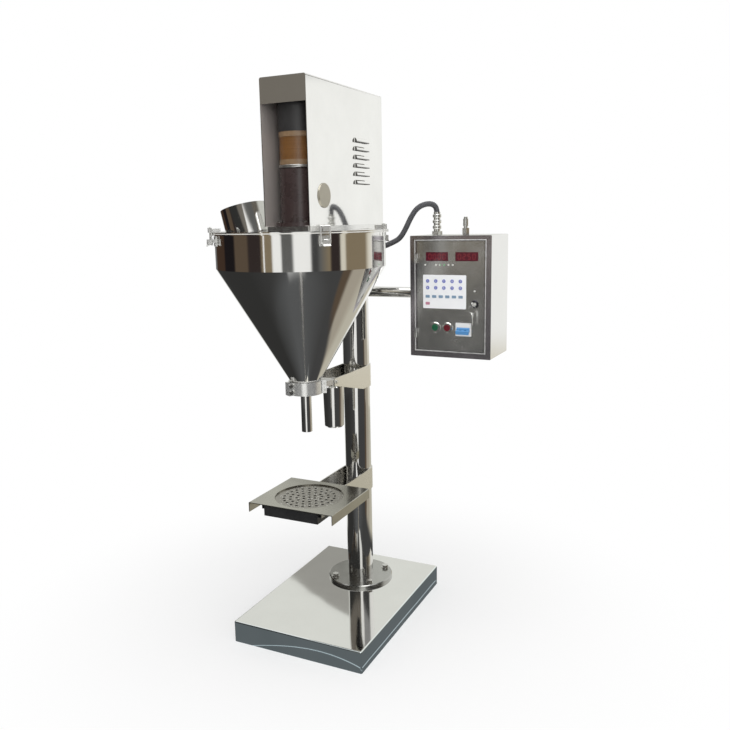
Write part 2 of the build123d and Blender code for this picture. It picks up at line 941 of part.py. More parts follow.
def ring_sector(shrink):
    """The wedge of the front part of the ring, with the split's half width taken off each side."""
    reach = 3 * ring_r
    start = radians(ring_split_front)
    end = radians(ring_split_right)
    centre = (start + end) / 2
    apex = Vector(shrink / sin((end - start) / 2), 0)
    first = Vector(reach * cos(start - centre), reach * sin(start - centre)) + apex
    last = Vector(reach * cos(end - centre), reach * sin(end - centre)) + apex
    wedge = make_face(Polyline(apex, first, (2 * reach, 0), last, close=True))
    solid = Pos(0, 0, ring_bottom_z) * extrude(wedge, amount=ring_height)
    return at_ring(degrees(centre)) * solid


outlet_ring = make_outlet_ring()
save("outlet_ring_front", outlet_ring & ring_sector(ring_split / 2))
save("outlet_ring_rear", outlet_ring - ring_sector(-ring_split / 2))


# Straps: a sheet bent round the column, whose legs are wedge-shaped cheeks
def strap_bolt_heights(top_z):
    return (top_z - strap_height / 4, top_z - strap_height * 3 / 4)


def make_strap(top_z, front_y, tip_height):
    bottom_z = top_z - strap_height
    long_leg = column_y - front_y
    plan = Pos(0, column_y) * Circle(strap_outer)
    plan += Pos(0, column_y - long_leg / 2) * Rectangle(2 * strap_outer, long_leg)
    plan -= Pos(0, column_y) * Circle(strap_inner)
    plan -= Pos(0, column_y - long_leg / 2) * Rectangle(2 * strap_inner, long_leg)
    strap = Pos(0, 0, bottom_z) * extrude(plan, amount=strap_height)
    under = make_face(
        Polyline(
            (front_y, top_z - tip_height), (column_y - strap_outer, bottom_z),
            (front_y, bottom_z), close=True,
        )
    )
    strap -= extrude(Plane.YZ * under, amount=strap_outer, both=True)
    back_y = column_y + strap_outer
    for z in strap_bolt_heights(top_z):
        boss = rod((0, column_y, z), (0, back_y + clamp_boss_length, z), clamp_boss_r)
        strap += boss - disc(0, column_y, strap_inner, (bottom_z, top_z))
        strap -= rod((0, column_y, z), (0, back_y + clamp_boss_length, z), clamp_bolt_r + thread_fit)
    return strap


def make_clamp_bolts(top_z):
    head_y = column_y + strap_outer + clamp_boss_length + clamp_bolt_stand_out
    length = head_y - column_y - column_r - slide_gap
    return [
        bolt((0, head_y, z), (0, 1, 0), clamp_bolt_r, length, clamp_bolt_flats, clamp_bolt_head)
        for z in strap_bolt_heights(top_z)
    ]


# Hopper arm with the hanger of the vibrator
vibrator_y = fill_y + vibrator_back
hanger_top_z = arm_top_z - hanger_drop
hanger_bottom_z = hanger_top_z - hanger_thickness
arm_bolt_y = fill_y + arm_front_back + arm_bolt_inset
arm_bolt_z = arm_top_z - arm_tip_height / 2


def make_hopper_arm():
    arm = make_strap(arm_top_z, fill_y + arm_front_back, arm_tip_height)
    hanger_y = (vibrator_y - hanger_depth / 2, vibrator_y + hanger_depth / 2)
    hanger_z = (hanger_bottom_z, hanger_top_z)
    hanger = block((-strap_inner, strap_inner), hanger_y, hanger_z)
    arm += hanger - disc(0, vibrator_y, vibrator_stud_r + bolt_clearance, hanger_z)
    left = (-strap_outer, arm_bolt_y, arm_bolt_z)
    right = (strap_outer, arm_bolt_y, arm_bolt_z)
    return arm - rod(left, right, head_bolt_r + bolt_clearance)


def make_vibrator_body():
    top_z = hanger_bottom_z
    shoulder_z = top_z - vibrator_drop
    bottom_z = shoulder_z - vibrator_length
    can = turned(
        [
            (0, bottom_z), (vibrator_bottom_r - vibrator_edge, bottom_z),
            (vibrator_bottom_r, bottom_z + vibrator_edge), (vibrator_top_r, shoulder_z - vibrator_edge),
            (vibrator_top_r - vibrator_edge, shoulder_z),
            (vibrator_stud_r * 2, shoulder_z), (vibrator_stud_r * 2, top_z), (vibrator_stud_r, top_z),
            (vibrator_stud_r, hanger_top_z + vibrator_nut_height), (0, hanger_top_z + vibrator_nut_height),
        ],
        0, vibrator_y,
    )
    nut = extrude(RegularPolygon(vibrator_nut_flats / 2, 6, major_radius=False), amount=vibrator_nut_height)
    return can + Pos(0, vibrator_y, hanger_top_z) * nut


save("hopper_arm", make_hopper_arm())
save("vibrator_body", make_vibrator_body())

# Bolts of the head, the drive, the lid, the arm and the outlet ring
column_bolt_length = head_plate_thickness + column_disc_thickness + head_bolt_head
lid_bolt_length = lid_thickness + head_bolt_grip
drive_bolt_length = housing_flange_thickness + head_bolt_grip


def frame_bolt(seat, out, length):
    return bolt(seat, out, head_bolt_r, length, head_bolt_flats, head_bolt_head)


def make_ring_bolts():
    bolts = []
    half_lug = ring_lug_width / 2
    for angle in (ring_split_front, ring_split_right):
        for z in ring_bolt_heights:
            head = frame_bolt((ring_lug_r, half_lug, z), (0, 1, 0), ring_lug_width)
            bolts.append(at_ring(angle) * head)
    return bolts


def make_frame_bolts():
    up = (0, 0, 1)
    down = (0, 0, -1)
    flange_z = head_top_z + housing_flange_thickness
    bolts = [frame_bolt((*place, flange_z), up, drive_bolt_length) for place in drive_bolt_places]
    bolts += [frame_bolt((*place, head_top_z), up, column_bolt_length) for place in column_bolt_places]
    bolts += [frame_bolt((*place, lid_bottom_z), down, lid_bolt_length) for place in lid_bolt_places]
    for side in (-1, 1):
        seat = (side * strap_outer, arm_bolt_y, arm_bolt_z)
        bolts.append(frame_bolt(seat, (side, 0, 0), strap_thickness + 3 * head_bolt_grip))
    return bolts + make_ring_bolts() + make_clamp_bolts(arm_top_z)


save("frame_bolts", *make_frame_bolts())

# Toggle latches, drawn on the +X side of the filling axis and then turned into place
pivot_r = hopper_r + latch_reach
pivot_z = rim_z - latch_pivot_drop
crank_z = pivot_z - bail_crank
bail_half = lever_width / 2 + bail_side_gap
keeper_top_z = lid_top_z + keeper_height
bail_top_z = keeper_top_z + bail_wire_r + slide_gap
keeper_lip_r = pivot_r + bail_wire_r + keeper_lip_gap


def at_latch(angle, piece):
    return Pos(0, fill_y, 0) * Rot(0, 0, angle) * piece


def make_latch_base():
    half = latch_base_width / 2
    base_z = (pivot_z - latch_base_fall, pivot_z + latch_base_rise)
    base_x = (hopper_r - latch_base_thickness, hopper_r + latch_base_thickness)
    base = block(base_x, (-half, half), base_z)
    half_lug = latch_lug_width / 2
    lug_z = (pivot_z - latch_lug_r, pivot_z + latch_lug_r)
    base += block((hopper_r, pivot_r), (-half_lug, half_lug), lug_z)
    base += rod((pivot_r, -half_lug, pivot_z), (pivot_r, half_lug, pivot_z), latch_lug_r)
    base += rod((pivot_r, -lever_width / 2, pivot_z), (pivot_r, lever_width / 2, pivot_z), latch_pin_r)
    return base - disc(0, 0, hopper_r + weld_gap, base_z)


def make_latch_keeper():
    half = keeper_width / 2
    outer_r = keeper_lip_r + keeper_lip
    keeper = block((rim_r - keeper_inside, outer_r), (-half, half), (lid_top_z, keeper_top_z))
    return keeper + block((keeper_lip_r, outer_r), (-half, half), (keeper_top_z, keeper_top_z + keeper_lip))


def make_latch_lever():
    half = lever_width / 2
    near = pivot_r + lever_stand_off
    far = near + lever_plate
    end_z = pivot_z - lever_length
    tip_z = end_z - lever_curl
    flare = lever_curl / 2
    high_corners = [(near, pivot_z), (far, pivot_z), (far, end_z)]
    low_corners = [(far + flare, tip_z), (near + flare, tip_z), (near, end_z)]
    side = make_face(Polyline(*high_corners, *low_corners, close=True))
    lever = extrude(Plane.XZ * side, amount=half, both=True)
    inside = pivot_r - latch_lug_r + slide_gap
    for edge in (-1, 1):
        span = sorted((edge * (half - lever_cheek), edge * half))
        lever += block((inside, far), span, (crank_z - latch_lug_r, pivot_z + latch_lug_r))
    lever -= rod((pivot_r, -half, pivot_z), (pivot_r, half, pivot_z), latch_pin_r + running_fit)
    return lever - rod((pivot_r, -half, crank_z), (pivot_r, half, crank_z), bail_wire_r + running_fit)


def make_latch_bail():
    inner = lever_width / 2 - lever_cheek
    bail = rod((pivot_r, -bail_half, bail_top_z), (pivot_r, bail_half, bail_top_z), bail_wire_r)
    for side in (-1, 1):
        corner = (pivot_r, side * bail_half, crank_z)
        bail += rod(corner, (pivot_r, side * bail_half, bail_top_z), bail_wire_r)
        bail += rod((pivot_r, side * inner, crank_z), corner, bail_wire_r)
        bail += Pos(*corner) * Sphere(bail_wire_r)
        bail += Pos(pivot_r, side * bail_half, bail_top_z) * Sphere(bail_wire_r)
    return bail


latch_fixed = []
for index, place in enumerate(latch_names):
    angle = latch_first_angle + 360 * index / len(latch_names)
    latch_fixed.append(at_latch(angle, make_latch_base()))
    latch_fixed.append(at_latch(angle, make_latch_keeper()))
    save(f"latch_lever_{place}", at_latch(angle, make_latch_lever()))
    save(f"latch_bail_{place}", at_latch(angle, make_latch_bail()))
save("latch_mounts", *latch_fixed)

# Tray: folded table with a round recess, on a strap that slides on the column
half_tray = tray_width / 2
ledge_top_z = tray_top_z - recess_depth - disc_thickness
ledge_bottom_z = ledge_top_z - tray_sheet
tray_bolt_z = tray_top_z - tray_bolt_drop


def make_tray_plate():
    flange_z = tray_top_z - tray_flange
    flange_y = tray_back_y - tray_sheet
    tray = block((-half_tray, half_tray), (tray_front_y, tray_back_y), (flange_z, tray_top_z))
    tray = fillet(tray.edges().group_by(Axis.Z)[-1].filter_by(Axis.Y), tray_sheet)
    inside = half_tray - tray_sheet
    tray -= block((-inside, inside), (tray_front_y, flange_y), (flange_z, tray_under_z))
    tray += disc(0, fill_y, recess_r + tray_sheet, (ledge_bottom_z, tray_top_z))
    tray -= disc(0, fill_y, recess_r, (ledge_top_z, tray_top_z))
    tray -= disc(0, fill_y, recess_r - recess_ledge, (ledge_bottom_z, ledge_top_z))
    for side in (-1, 1):
        x = side * tray_bolt_x
        hole_r = tray_bolt_r + bolt_clearance
        tray -= rod((x, flange_y, tray_bolt_z), (x, tray_back_y, tray_bolt_z), hole_r)
    return tray


def make_perforated_disc():
    disc_r = recess_r - disc_gap
    grid = disc(0, fill_y, disc_r, (ledge_top_z, ledge_top_z + disc_thickness))
    holes = [Pos(0, fill_y) * Circle(disc_hole_r)]
    for ring in range(1, disc_hole_rings + 1):
        for place in circle_points(6 * ring, ring * disc_hole_pitch, 0, fill_y, 0):
            holes.append(Pos(*place) * Circle(disc_hole_r))
    cutters = [Pos(0, 0, ledge_top_z) * extrude(hole, amount=disc_thickness) for hole in holes]
    return grid - cutters


def make_tray_bracket():
    bracket = make_strap(bracket_top_z, tray_back_y, tray_tip_height)
    web_y = (tray_back_y, tray_back_y + tray_web_thickness)
    web = block((-strap_inner, strap_inner), web_y, (bracket_top_z - tray_tip_height, bracket_top_z))
    for side in (-1, 1):
        x = side * tray_bolt_x
        web -= rod((x, web_y[0], tray_bolt_z), (x, web_y[1], tray_bolt_z), tray_bolt_r + thread_fit)
    return bracket + web


def make_tray_bolts():
    seats = [(side * tray_bolt_x, tray_back_y - tray_sheet, tray_bolt_z) for side in (-1, 1)]
    length = tray_sheet + tray_web_thickness
    front = (0, -1, 0)
    bolts = [bolt(seat, front, tray_bolt_r, length, tray_bolt_flats, tray_bolt_head) for seat in seats]
    return bolts + make_clamp_bolts(bracket_top_z)


save("tray_plate", make_tray_plate())
save("perforated_disc", make_perforated_disc())
save("tray_bracket", make_tray_bracket())
save("tray_bolts", *make_tray_bolts())

# Spill drawer on two rails under the table
half_drawer = drawer_width / 2
drawer_top_z = drawer_bottom_z + drawer_height
drawer_front_y = tray_front_y + drawer_front_inset
drawer_back_y = drawer_front_y + drawer_length
runner_foot_z = drawer_top_z - drawer_wall - slide_gap
runner_x = half_drawer + drawer_lip + moving_gap


def make_spill_drawer():
    side_x = (-half_drawer, half_drawer)
    drawer = block(side_x, (drawer_front_y, drawer_back_y), (drawer_bottom_z, drawer_top_z))
    lip = half_drawer + drawer_lip
    inside_y = drawer_front_y + drawer_wall
    drawer += block((-lip, lip), (inside_y, drawer_back_y), (drawer_top_z - drawer_wall, drawer_top_z))
    inside = half_drawer - drawer_wall
    well_y = (inside_y, drawer_back_y - drawer_wall)
    drawer -= block((-inside, inside), well_y, (drawer_bottom_z + drawer_wall, drawer_top_z))
    front_z = (drawer_bottom_z, tray_under_z - drawer_front_gap)
    return drawer + block(side_x, (drawer_front_y, inside_y), front_z)


def make_drawer_runner(side):
    web = sorted((side * runner_x, side * (runner_x + runner_thickness)))
    foot = sorted((side * (runner_x + runner_thickness), side * (half_drawer + moving_gap)))
    span = (drawer_front_y + drawer_front_inset, tray_back_y - tray_sheet)
    foot_z = runner_foot_z - runner_thickness
    runner = block(web, span, (foot_z, tray_under_z)) + block(foot, span, (foot_z, runner_foot_z))
    clear_r = recess_r + tray_sheet + runner_recess_gap
    return runner - disc(0, fill_y, clear_r, (ledge_bottom_z - runner_recess_gap, tray_under_z))


save("spill_drawer", make_spill_drawer())
save("drawer_runners", make_drawer_runner(-1), make_drawer_runner(1))

# Control box on its arm
box_right_x = box_x + box_width
box_inside_left = box_x + box_sheet
opening_x = (box_x + frame_left, box_right_x - frame_right)
opening_z = (box_bottom_z + frame_bottom, box_top_z - frame_top)
arm_end_x = box_inside_left + arm_end_inside


def make_box_arm():
    start = (0, column_y, box_arm_z)
    end = (arm_end_x, column_y, box_arm_z)
    arm = rod(start, end, box_arm_r)
    flange_end = (box_inside_left + arm_flange_thickness, column_y, box_arm_z)
    arm += rod((box_inside_left, column_y, box_arm_z), flange_end, arm_flange_r)
    arm -= rod(start, end, box_arm_r - box_arm_wall)
    return arm - disc(0, column_y, column_r + weld_gap, (box_arm_z - box_arm_r, box_arm_z + box_arm_r))


def make_control_box():
    box = block((box_x, box_right_x), (box_front_y, box_back_y), (box_bottom_z, box_top_z))
    box = fillet(box.edges().filter_by(Axis.Y), box_bend)
    inside_x = (box_inside_left, box_right_x - box_sheet)
    inside_z = (box_bottom_z + box_sheet, box_top_z - box_sheet)
    box -= block(inside_x, (box_front_y + box_sheet, box_back_y - box_sheet), inside_z)
    box -= block(opening_x, (box_front_y, box_front_y + box_sheet), opening_z)
    box -= rod((box_x, column_y, box_arm_z), (box_inside_left, column_y, box_arm_z), box_arm_r + weld_gap)
    for x, r in ((gland_x, conduit_r), (blank_gland_x, blank_stub_r)):
        box -= disc(x, gland_y, r, (box_top_z - box_sheet, box_top_z))
    return box


# Back plate with the power supply, the motor driver and the terminal block
plate_back_y = box_back_y - box_sheet - plate_standoff
plate_front_y = plate_back_y - plate_thickness
plate_x = (box_x + plate_margin, box_right_x - plate_margin)
plate_z = (box_bottom_z + plate_margin, box_top_z - plate_margin)
modules_z = plate_z[0] + module_gap + terminal_height + module_gap


def make_mounting_plate():
    plate = block(plate_x, (plate_front_y, plate_back_y), plate_z)
    for x in (plate_x[0] + plate_margin / 2, plate_x[1] - plate_margin / 2):
        for z in (plate_z[0] + plate_margin / 2, plate_z[1] - plate_margin / 2):
            plate += rod((x, plate_back_y, z), (x, plate_back_y + plate_standoff, z), standoff_r)
    return plate


def make_power_supply():
    left = plate_x[0] + module_gap
    depth = (plate_front_y - supply_depth, plate_front_y)
    case = block((left, left + supply_width), depth, (modules_z, modules_z + supply_height))
    return fillet(case.edges().group_by(Axis.Y)[0], box_bend)


def make_motor_driver():
    right = plate_x[1] - module_gap
    left = right - driver_width
    body_y = plate_front_y - driver_depth
    driver = block((left, right), (body_y, plate_front_y), (modules_z, modules_z + driver_height))
    gap = (driver_width - driver_fins * fin_thickness) / (driver_fins - 1)
    for index in range(driver_fins - 1):
        x = left + fin_thickness + index * (fin_thickness + gap)
        driver -= block((x, x + gap), (body_y, body_y + fin_depth), (modules_z, modules_z + driver_height))
    return driver


def make_terminal_block():
    left = plate_x[0] + module_gap
    low_z = plate_z[0] + module_gap
    front_y = plate_front_y - terminal_depth
    strip = block((left, left + terminal_width), (front_y, plate_front_y), (low_z, low_z + terminal_height))
    pitch = terminal_width / terminal_count
    for index in range(terminal_count):
        x = left + pitch * (index + 0.5)
        span = (x - terminal_slot / 2, x + terminal_slot / 2)
        strip -= block(span, (front_y, front_y + terminal_slot), (low_z, low_z + terminal_slot))
    return strip


save("box_arm", make_box_arm())
save("control_box", make_control_box())
save("mounting_plate", make_mounting_plate())
save("power_modules", make_power_supply(), make_motor_driver(), make_terminal_block())

# Inset door on two barrel hinges at its left edge
door_x = (opening_x[0] + door_gap, opening_x[1] - door_gap)
door_z = (opening_z[0] + door_gap, opening_z[1] - door_gap)
door_back_y = box_front_y + door_sheet
hinge_x = opening_x[0]
hinge_y = box_front_y - hinge_stand_off
hinge_heights = (opening_z[0] + hinge_end_inset, opening_z[1] - hinge_end_inset)


def on_door(x, z):
    """A place on the door's front, from the box's lower left corner."""
    return (box_x + x, box_bottom_z + z)


def door_hole(x, z, r):
    place_x, place_z = on_door(x, z)
    return rod((place_x, box_front_y, place_z), (place_x, door_back_y, place_z), r)


def hinge_leaf_and_knuckle(side, low_z, height):
    """One leaf of a hinge lying on the front, with its knuckle round the pin."""
    leaf_x = sorted((hinge_x + side * (door_gap / 2), hinge_x + side * hinge_leaf))
    leaf = block(leaf_x, (box_front_y - hinge_leaf_thickness, box_front_y), (low_z, low_z + height))
    arm_x = sorted((hinge_x, hinge_x + side * hinge_r))
    leaf += block(arm_x, (hinge_y, box_front_y - hinge_leaf_thickness), (low_z, low_z + height))
    leaf += disc(hinge_x, hinge_y, hinge_r, (low_z, low_z + height))
    own_side = sorted((hinge_x + side * door_gap / 2, hinge_x - side * hinge_leaf))
    return leaf - block(own_side, (hinge_y + hinge_r, box_front_y), (low_z, low_z + height))


def make_box_door():
    door = block(door_x, (box_front_y, box_front_y + door_return), door_z)
    inside_x = (door_x[0] + door_sheet, door_x[1] - door_sheet)
    inside_z = (door_z[0] + door_sheet, door_z[1] - door_sheet)
    door -= block(inside_x, (door_back_y, box_front_y + door_return), inside_z)
    for x in (display_left_x, display_right_x):
        place_x, place_z = on_door(x, display_z)
        span_x = (place_x - display_width / 2, place_x + display_width / 2)
        span_z = (place_z - display_height / 2, place_z + display_height / 2)
        door -= block(span_x, (box_front_y, door_back_y), span_z)
    for place in lamp_places:
        door -= door_hole(*place, lamp_r + running_fit)
    for x in (button_start_x, button_stop_x):
        door -= door_hole(x, button_z, button_r + weld_gap + bezel_wall)
    door -= door_hole(lock_x, lock_z, lock_r + weld_gap)
    place_x, place_z = on_door(breaker_x, breaker_z)
    nose_x = (place_x - breaker_width / 2 - breaker_fit, place_x + breaker_width / 2 + breaker_fit)
    nose_z = (place_z - breaker_nose / 2 - breaker_fit, place_z + breaker_nose / 2 + breaker_fit)
    door -= block(nose_x, (box_front_y, door_back_y), nose_z)
    for z in hinge_heights:
        knuckle = hinge_leaf_and_knuckle(1, z + slide_gap, hinge_knuckle - slide_gap)
        door += knuckle
        door -= disc(hinge_x, hinge_y, hinge_pin_r + running_fit, (z, z + hinge_knuckle))
    return door


def make_door_hinge(z):
    leaf = hinge_leaf_and_knuckle(-1, z - hinge_knuckle, hinge_knuckle)
    return leaf + disc(hinge_x, hinge_y, hinge_pin_r, (z - hinge_knuckle, z + hinge_knuckle))


lamp_places = [(lamp_row_x + index * lamp_pitch, lamp_row_z) for index in range(lamp_count)]
lamp_places += [(power_lamp_x, lamp_row_z), (key_lamp_x, key_lamp_z)]


def make_display_lenses():
    lenses = []
    back_y = box_front_y + display_lens_depth
    for x in (display_left_x, display_right_x):
        place_x, place_z = on_door(x, display_z)
        span_x = (place_x - display_width / 2, place_x + display_width / 2)
        span_z = (place_z - display_height / 2, place_z + display_height / 2)
        lenses.append(block(span_x, (box_front_y - display_proud, back_y), span_z))
    for place in lamp_places:
        x, z = on_door(*place)
        lenses.append(rod((x, box_front_y - lamp_proud, z), (x, back_y, z), lamp_r))
    return lenses


def make_keypad():
    left, low_z = on_door(keypad_left, keypad_bottom)
    front_y = box_front_y - keypad_thickness
    pad = block((left, left + keypad_width), (front_y, box_front_y), (low_z, low_z + keypad_height))
    pad = fillet(pad.edges().filter_by(Axis.Y), box_bend)
    top_y = front_y - key_rise
    for row in key_rows:
        for index in range(lamp_count):
            x = left + key_first_x + index * key_pitch
            pad += rod((x, top_y, low_z + row), (x, front_y, low_z + row), key_r)
    wide_keys = [(key_first_x + index * wide_key_pitch, wide_key_row) for index in range(lamp_count + 1)]
    for x, row in wide_keys + [(key_first_x, reset_key_row)]:
        span_x = (left + x - key_wide / 2, left + x + key_wide / 2)
        span_z = (low_z + row - key_tall / 2, low_z + row + key_tall / 2)
        pad += block(span_x, (top_y, front_y), span_z)
    return pad


save("box_door", make_box_door())
save("door_hinges", *[make_door_hinge(z) for z in hinge_heights])
save("display_lenses", *make_display_lenses())
save("keypad", make_keypad())


# Circuit board on four posts behind the door
def make_control_board():
    left, low_z = on_door(board_left, board_bottom)
    near_y = door_back_y + board_gap
    far_y = near_y + board_thickness
    board = block((left, left + board_width), (near_y, far_y), (low_z, low_z + board_height))
    for x in (left + board_post_inset, left + board_width - board_post_inset):
        for z in (low_z + board_post_inset, low_z + board_height - board_post_inset):
            board += rod((x, door_back_y, z), (x, far_y, z), board_post_r)
    for x in (display_left_x, display_right_x):
        place_x, place_z = on_door(x, display_z)
        span_x = (place_x - display_width / 2, place_x + display_width / 2)
        span_z = (place_z - display_height / 2, place_z + display_height / 2)
        board += block(span_x, (box_front_y + display_lens_depth, near_y), span_z)
    return board


# Push buttons in their bezels, and the lock
def make_button_bezel(x):
    place_x, place_z = on_door(x, button_z)
    wall_r = button_r + weld_gap + bezel_wall
    bore_r = button_r + slide_gap
    seat = Plane(origin=(place_x, box_front_y, place_z), z_dir=(0, -1, 0))
    back = -door_sheet - bezel_body_length
    bezel = turned(
        [
            (bore_r, back), (wall_r - running_fit, back), (wall_r - running_fit, 0), (bezel_r, 0),
            (bezel_r, bezel_height / 2), (bezel_r - bezel_height / 2, bezel_height), (bore_r, bezel_height),
        ]
    )
    return seat * bezel


def make_button(x):
    place_x, place_z = on_door(x, button_z)
    front_y = box_front_y - bezel_height - button_proud
    back_y = front_y + button_length + button_proud
    button = rod((place_x, front_y, place_z), (place_x, back_y, place_z), button_r)
    return fillet(button.edges().group_by(Axis.Y)[0], button_proud / 3)


def make_lock_bezel():
    place_x, place_z = on_door(lock_x, lock_z)
    seat = Plane(origin=(place_x, box_front_y, place_z), z_dir=(0, -1, 0))
    back = -door_sheet - lock_body_length
    bore_r = lock_plug_r + running_fit
    lock = turned(
        [
            (bore_r, back), (lock_r, back), (lock_r, 0), (lock_bezel_r, 0),
            (lock_bezel_r - lock_bezel_height / 2, lock_bezel_height), (bore_r, lock_bezel_height),
        ]
    )
    return seat * lock


def make_lock_key():
    """The lock's plug with the key in it, and the ring with the spare key on the key's bow."""
    x, z = on_door(lock_x, lock_z)
    face_y = box_front_y - lock_bezel_height
    neck_y = face_y - key_neck
    bow_y = neck_y - key_bow_r
    hole_y = bow_y - key_bow_r + key_bow_hole_r + key_bow_thickness
    half = key_bow_thickness / 2
    half_blade = key_blade_width / 2
    plug = rod((x, face_y, z), (x, box_front_y + door_sheet + lock_body_length, z), lock_plug_r)
    key = block((x - half, x + half), (neck_y - half, face_y), (z - half_blade, z + half_blade))
    bow = rod((x - half, bow_y, z), (x + half, bow_y, z), key_bow_r)
    hole = rod((x - half, hole_y, z), (x + half, hole_y, z), key_bow_hole_r)
    slack = key_bow_hole_r - key_ring_wire_r - slide_gap
    ring_z = z - slack - key_ring_r
    ring = Plane(origin=(x, hole_y, ring_z), z_dir=(0, 1, 0)) * Torus(key_ring_r, key_ring_wire_r)
    spare_z = ring_z - key_ring_r - slack
    spare_bow_z = spare_z - key_bow_r + key_bow_hole_r + key_bow_thickness
    spare = rod((x - half, hole_y, spare_bow_z), (x + half, hole_y, spare_bow_z), key_bow_r)
    low_z = spare_bow_z - spare_key_length
    spare += block((x - half, x + half), (hole_y - half_blade, hole_y + half_blade), (low_z, spare_bow_z))
    spare -= rod((x - half, hole_y, spare_z), (x + half, hole_y, spare_z), key_bow_hole_r)
    return [plug + key + (bow - hole), ring, spare]


save("control_board", make_control_board())
save("door_bezels", make_button_bezel(button_start_x), make_button_bezel(button_stop_x), make_lock_bezel())
save("start_button", make_button(button_start_x))
save("stop_button", make_button(button_stop_x))
save("lock_key", *make_lock_key())

# Three-pole breaker behind the door, with its nose through the cut-out
breaker_front_y = box_front_y - breaker_proud
toggle_y = breaker_front_y + toggle_drum_r / 2
pole_pitch = breaker_width / pole_count
toggle_half = breaker_width / 2 - toggle_bar


def make_breaker():
    x, z = on_door(breaker_x, breaker_z)
    half = breaker_width / 2
    nose_z = (z - breaker_nose / 2, z + breaker_nose / 2)
    breaker = block((x - half, x + half), (breaker_front_y, door_back_y), nose_z)
    body_z = (z - breaker_height / 2, z + breaker_height / 2)
    breaker += block((x - half, x + half), (door_back_y, door_back_y + breaker_depth), body_z)
    reach = toggle_half + slide_gap
    pocket_r = toggle_drum_r + slide_gap
    return breaker - rod((x - reach, toggle_y, z), (x + reach, toggle_y, z), pocket_r)


def make_breaker_toggle():
    x, z = on_door(breaker_x, breaker_z)
    toggle = rod((x - toggle_half, toggle_y, z), (x + toggle_half, toggle_y, z), toggle_drum_r)
    tip_y = toggle_y - toggle_drum_r - toggle_lever
    half_height = toggle_lever_height / 2
    levers = []
    for index in range(pole_count):
        pole_x = x + (index - (pole_count - 1) / 2) * pole_pitch
        span = (pole_x - toggle_lever_width / 2, pole_x + toggle_lever_width / 2)
        levers.append(block(span, (tip_y, toggle_y), (z - half_height, z + half_height)))
    bar_x = (x - pole_pitch - toggle_lever_width / 2, x + pole_pitch + toggle_lever_width / 2)
    bar_z = (z - toggle_bar_height / 2, z + toggle_bar_height / 2)
    levers.append(block(bar_x, (tip_y, tip_y + toggle_bar), bar_z))
    thrown = Pos(x, toggle_y, z) * Rot(toggle_sweep / 2, 0, 0) * Pos(-x, -toggle_y, -z)
    return toggle + [thrown * lever for lever in levers]


save("breaker", make_breaker())
save("breaker_toggle", make_breaker_toggle())


# Glands: the conduit's collared gland, the blank gland and the column gland
def make_conduit_gland():
    top_z = box_top_z + gland_total
    hexagon = extrude(RegularPolygon(gland_r, 6, major_radius=False), amount=gland_flange_height)
    gland = Pos(gland_x, gland_y, box_top_z) * hexagon
    gland += disc(gland_x, gland_y, gland_neck_r, (box_top_z, top_z))
    for index in range(gland_collar_count):
        low_z = box_top_z + gland_flange_height + gland_collar_gap
        low_z += index * (gland_collar_height + gland_collar_gap)
        collar = disc(gland_x, gland_y, gland_collar_r, (low_z, low_z + gland_collar_height))
        gland += fillet(collar.edges().filter_by(GeomType.CIRCLE), gland_collar_edge)
    gland += disc(gland_x, gland_y, conduit_r, (box_top_z - box_sheet, box_top_z))
    return gland - disc(gland_x, gland_y, conduit_r + slide_gap, (top_z - gland_cup_depth, top_z))


def make_blank_gland():
    hexagon = extrude(RegularPolygon(blank_gland_r, 6, major_radius=False), amount=blank_flange_height)
    gland = Pos(blank_gland_x, gland_y, box_top_z) * hexagon
    cap = (box_top_z + blank_cap_low, box_top_z + blank_cap_high)
    gland += disc(blank_gland_x, gland_y, blank_cap_r, cap)
    stub = (box_top_z - box_sheet, box_top_z + blank_stub_top)
    return gland + disc(blank_gland_x, gland_y, blank_stub_r, stub)


def make_column_gland():
    wall_x = column_r - column_wall
    start = (wall_x, column_y, column_gland_z)
    end = (column_r + column_gland_length, column_y, column_gland_z)
    gland = rod(start, end, conduit_r - weld_gap)
    hexagon = extrude(RegularPolygon(column_gland_r, 6, major_radius=False), amount=end[0] - wall_x)
    hexagon = Plane(origin=start, z_dir=(1, 0, 0)) * hexagon
    around = (column_gland_z - column_disc_r, column_gland_z + column_disc_r)
    return gland + (hexagon - disc(0, column_y, column_r + weld_gap, around))


save("cable_glands", make_conduit_gland(), make_blank_gland(), make_column_gland())


# Conduit: straight runs joined by arcs as large as the runs allow
def cord_radii(route):
    points = [Vector(*point) for point in route]
    radii = []
    for before, corner, after in zip(points, points[1:], points[2:]):
        turn = (corner - before).get_angle(after - corner)
        shorter = min((corner - before).length, (after - corner).length)
        radii.append(conduit_arc_share * shorter / tan(radians(turn / 2)))
    return radii


def make_cord(name, route, r):
    radii = cord_radii(route)
    path = FilletPolyline(*route, radius=radii)
    section = Plane(origin=path @ 0, z_dir=path % 0) * Circle(r)
    cord = sweep(section, path=path)
    wanted = pi * r**2 * path.length
    print(name, "length", round(path.length, 1), "radii", [round(radius) for radius in radii])
    print(name, "volume over section times length", round(cord.volume / wanted, 4))
    return cord


save("conduit", make_cord("conduit", conduit_route, conduit_r))
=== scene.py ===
from math import cos, pi, radians, sin

import bmesh
import bpy
from mathutils import Matrix, Vector


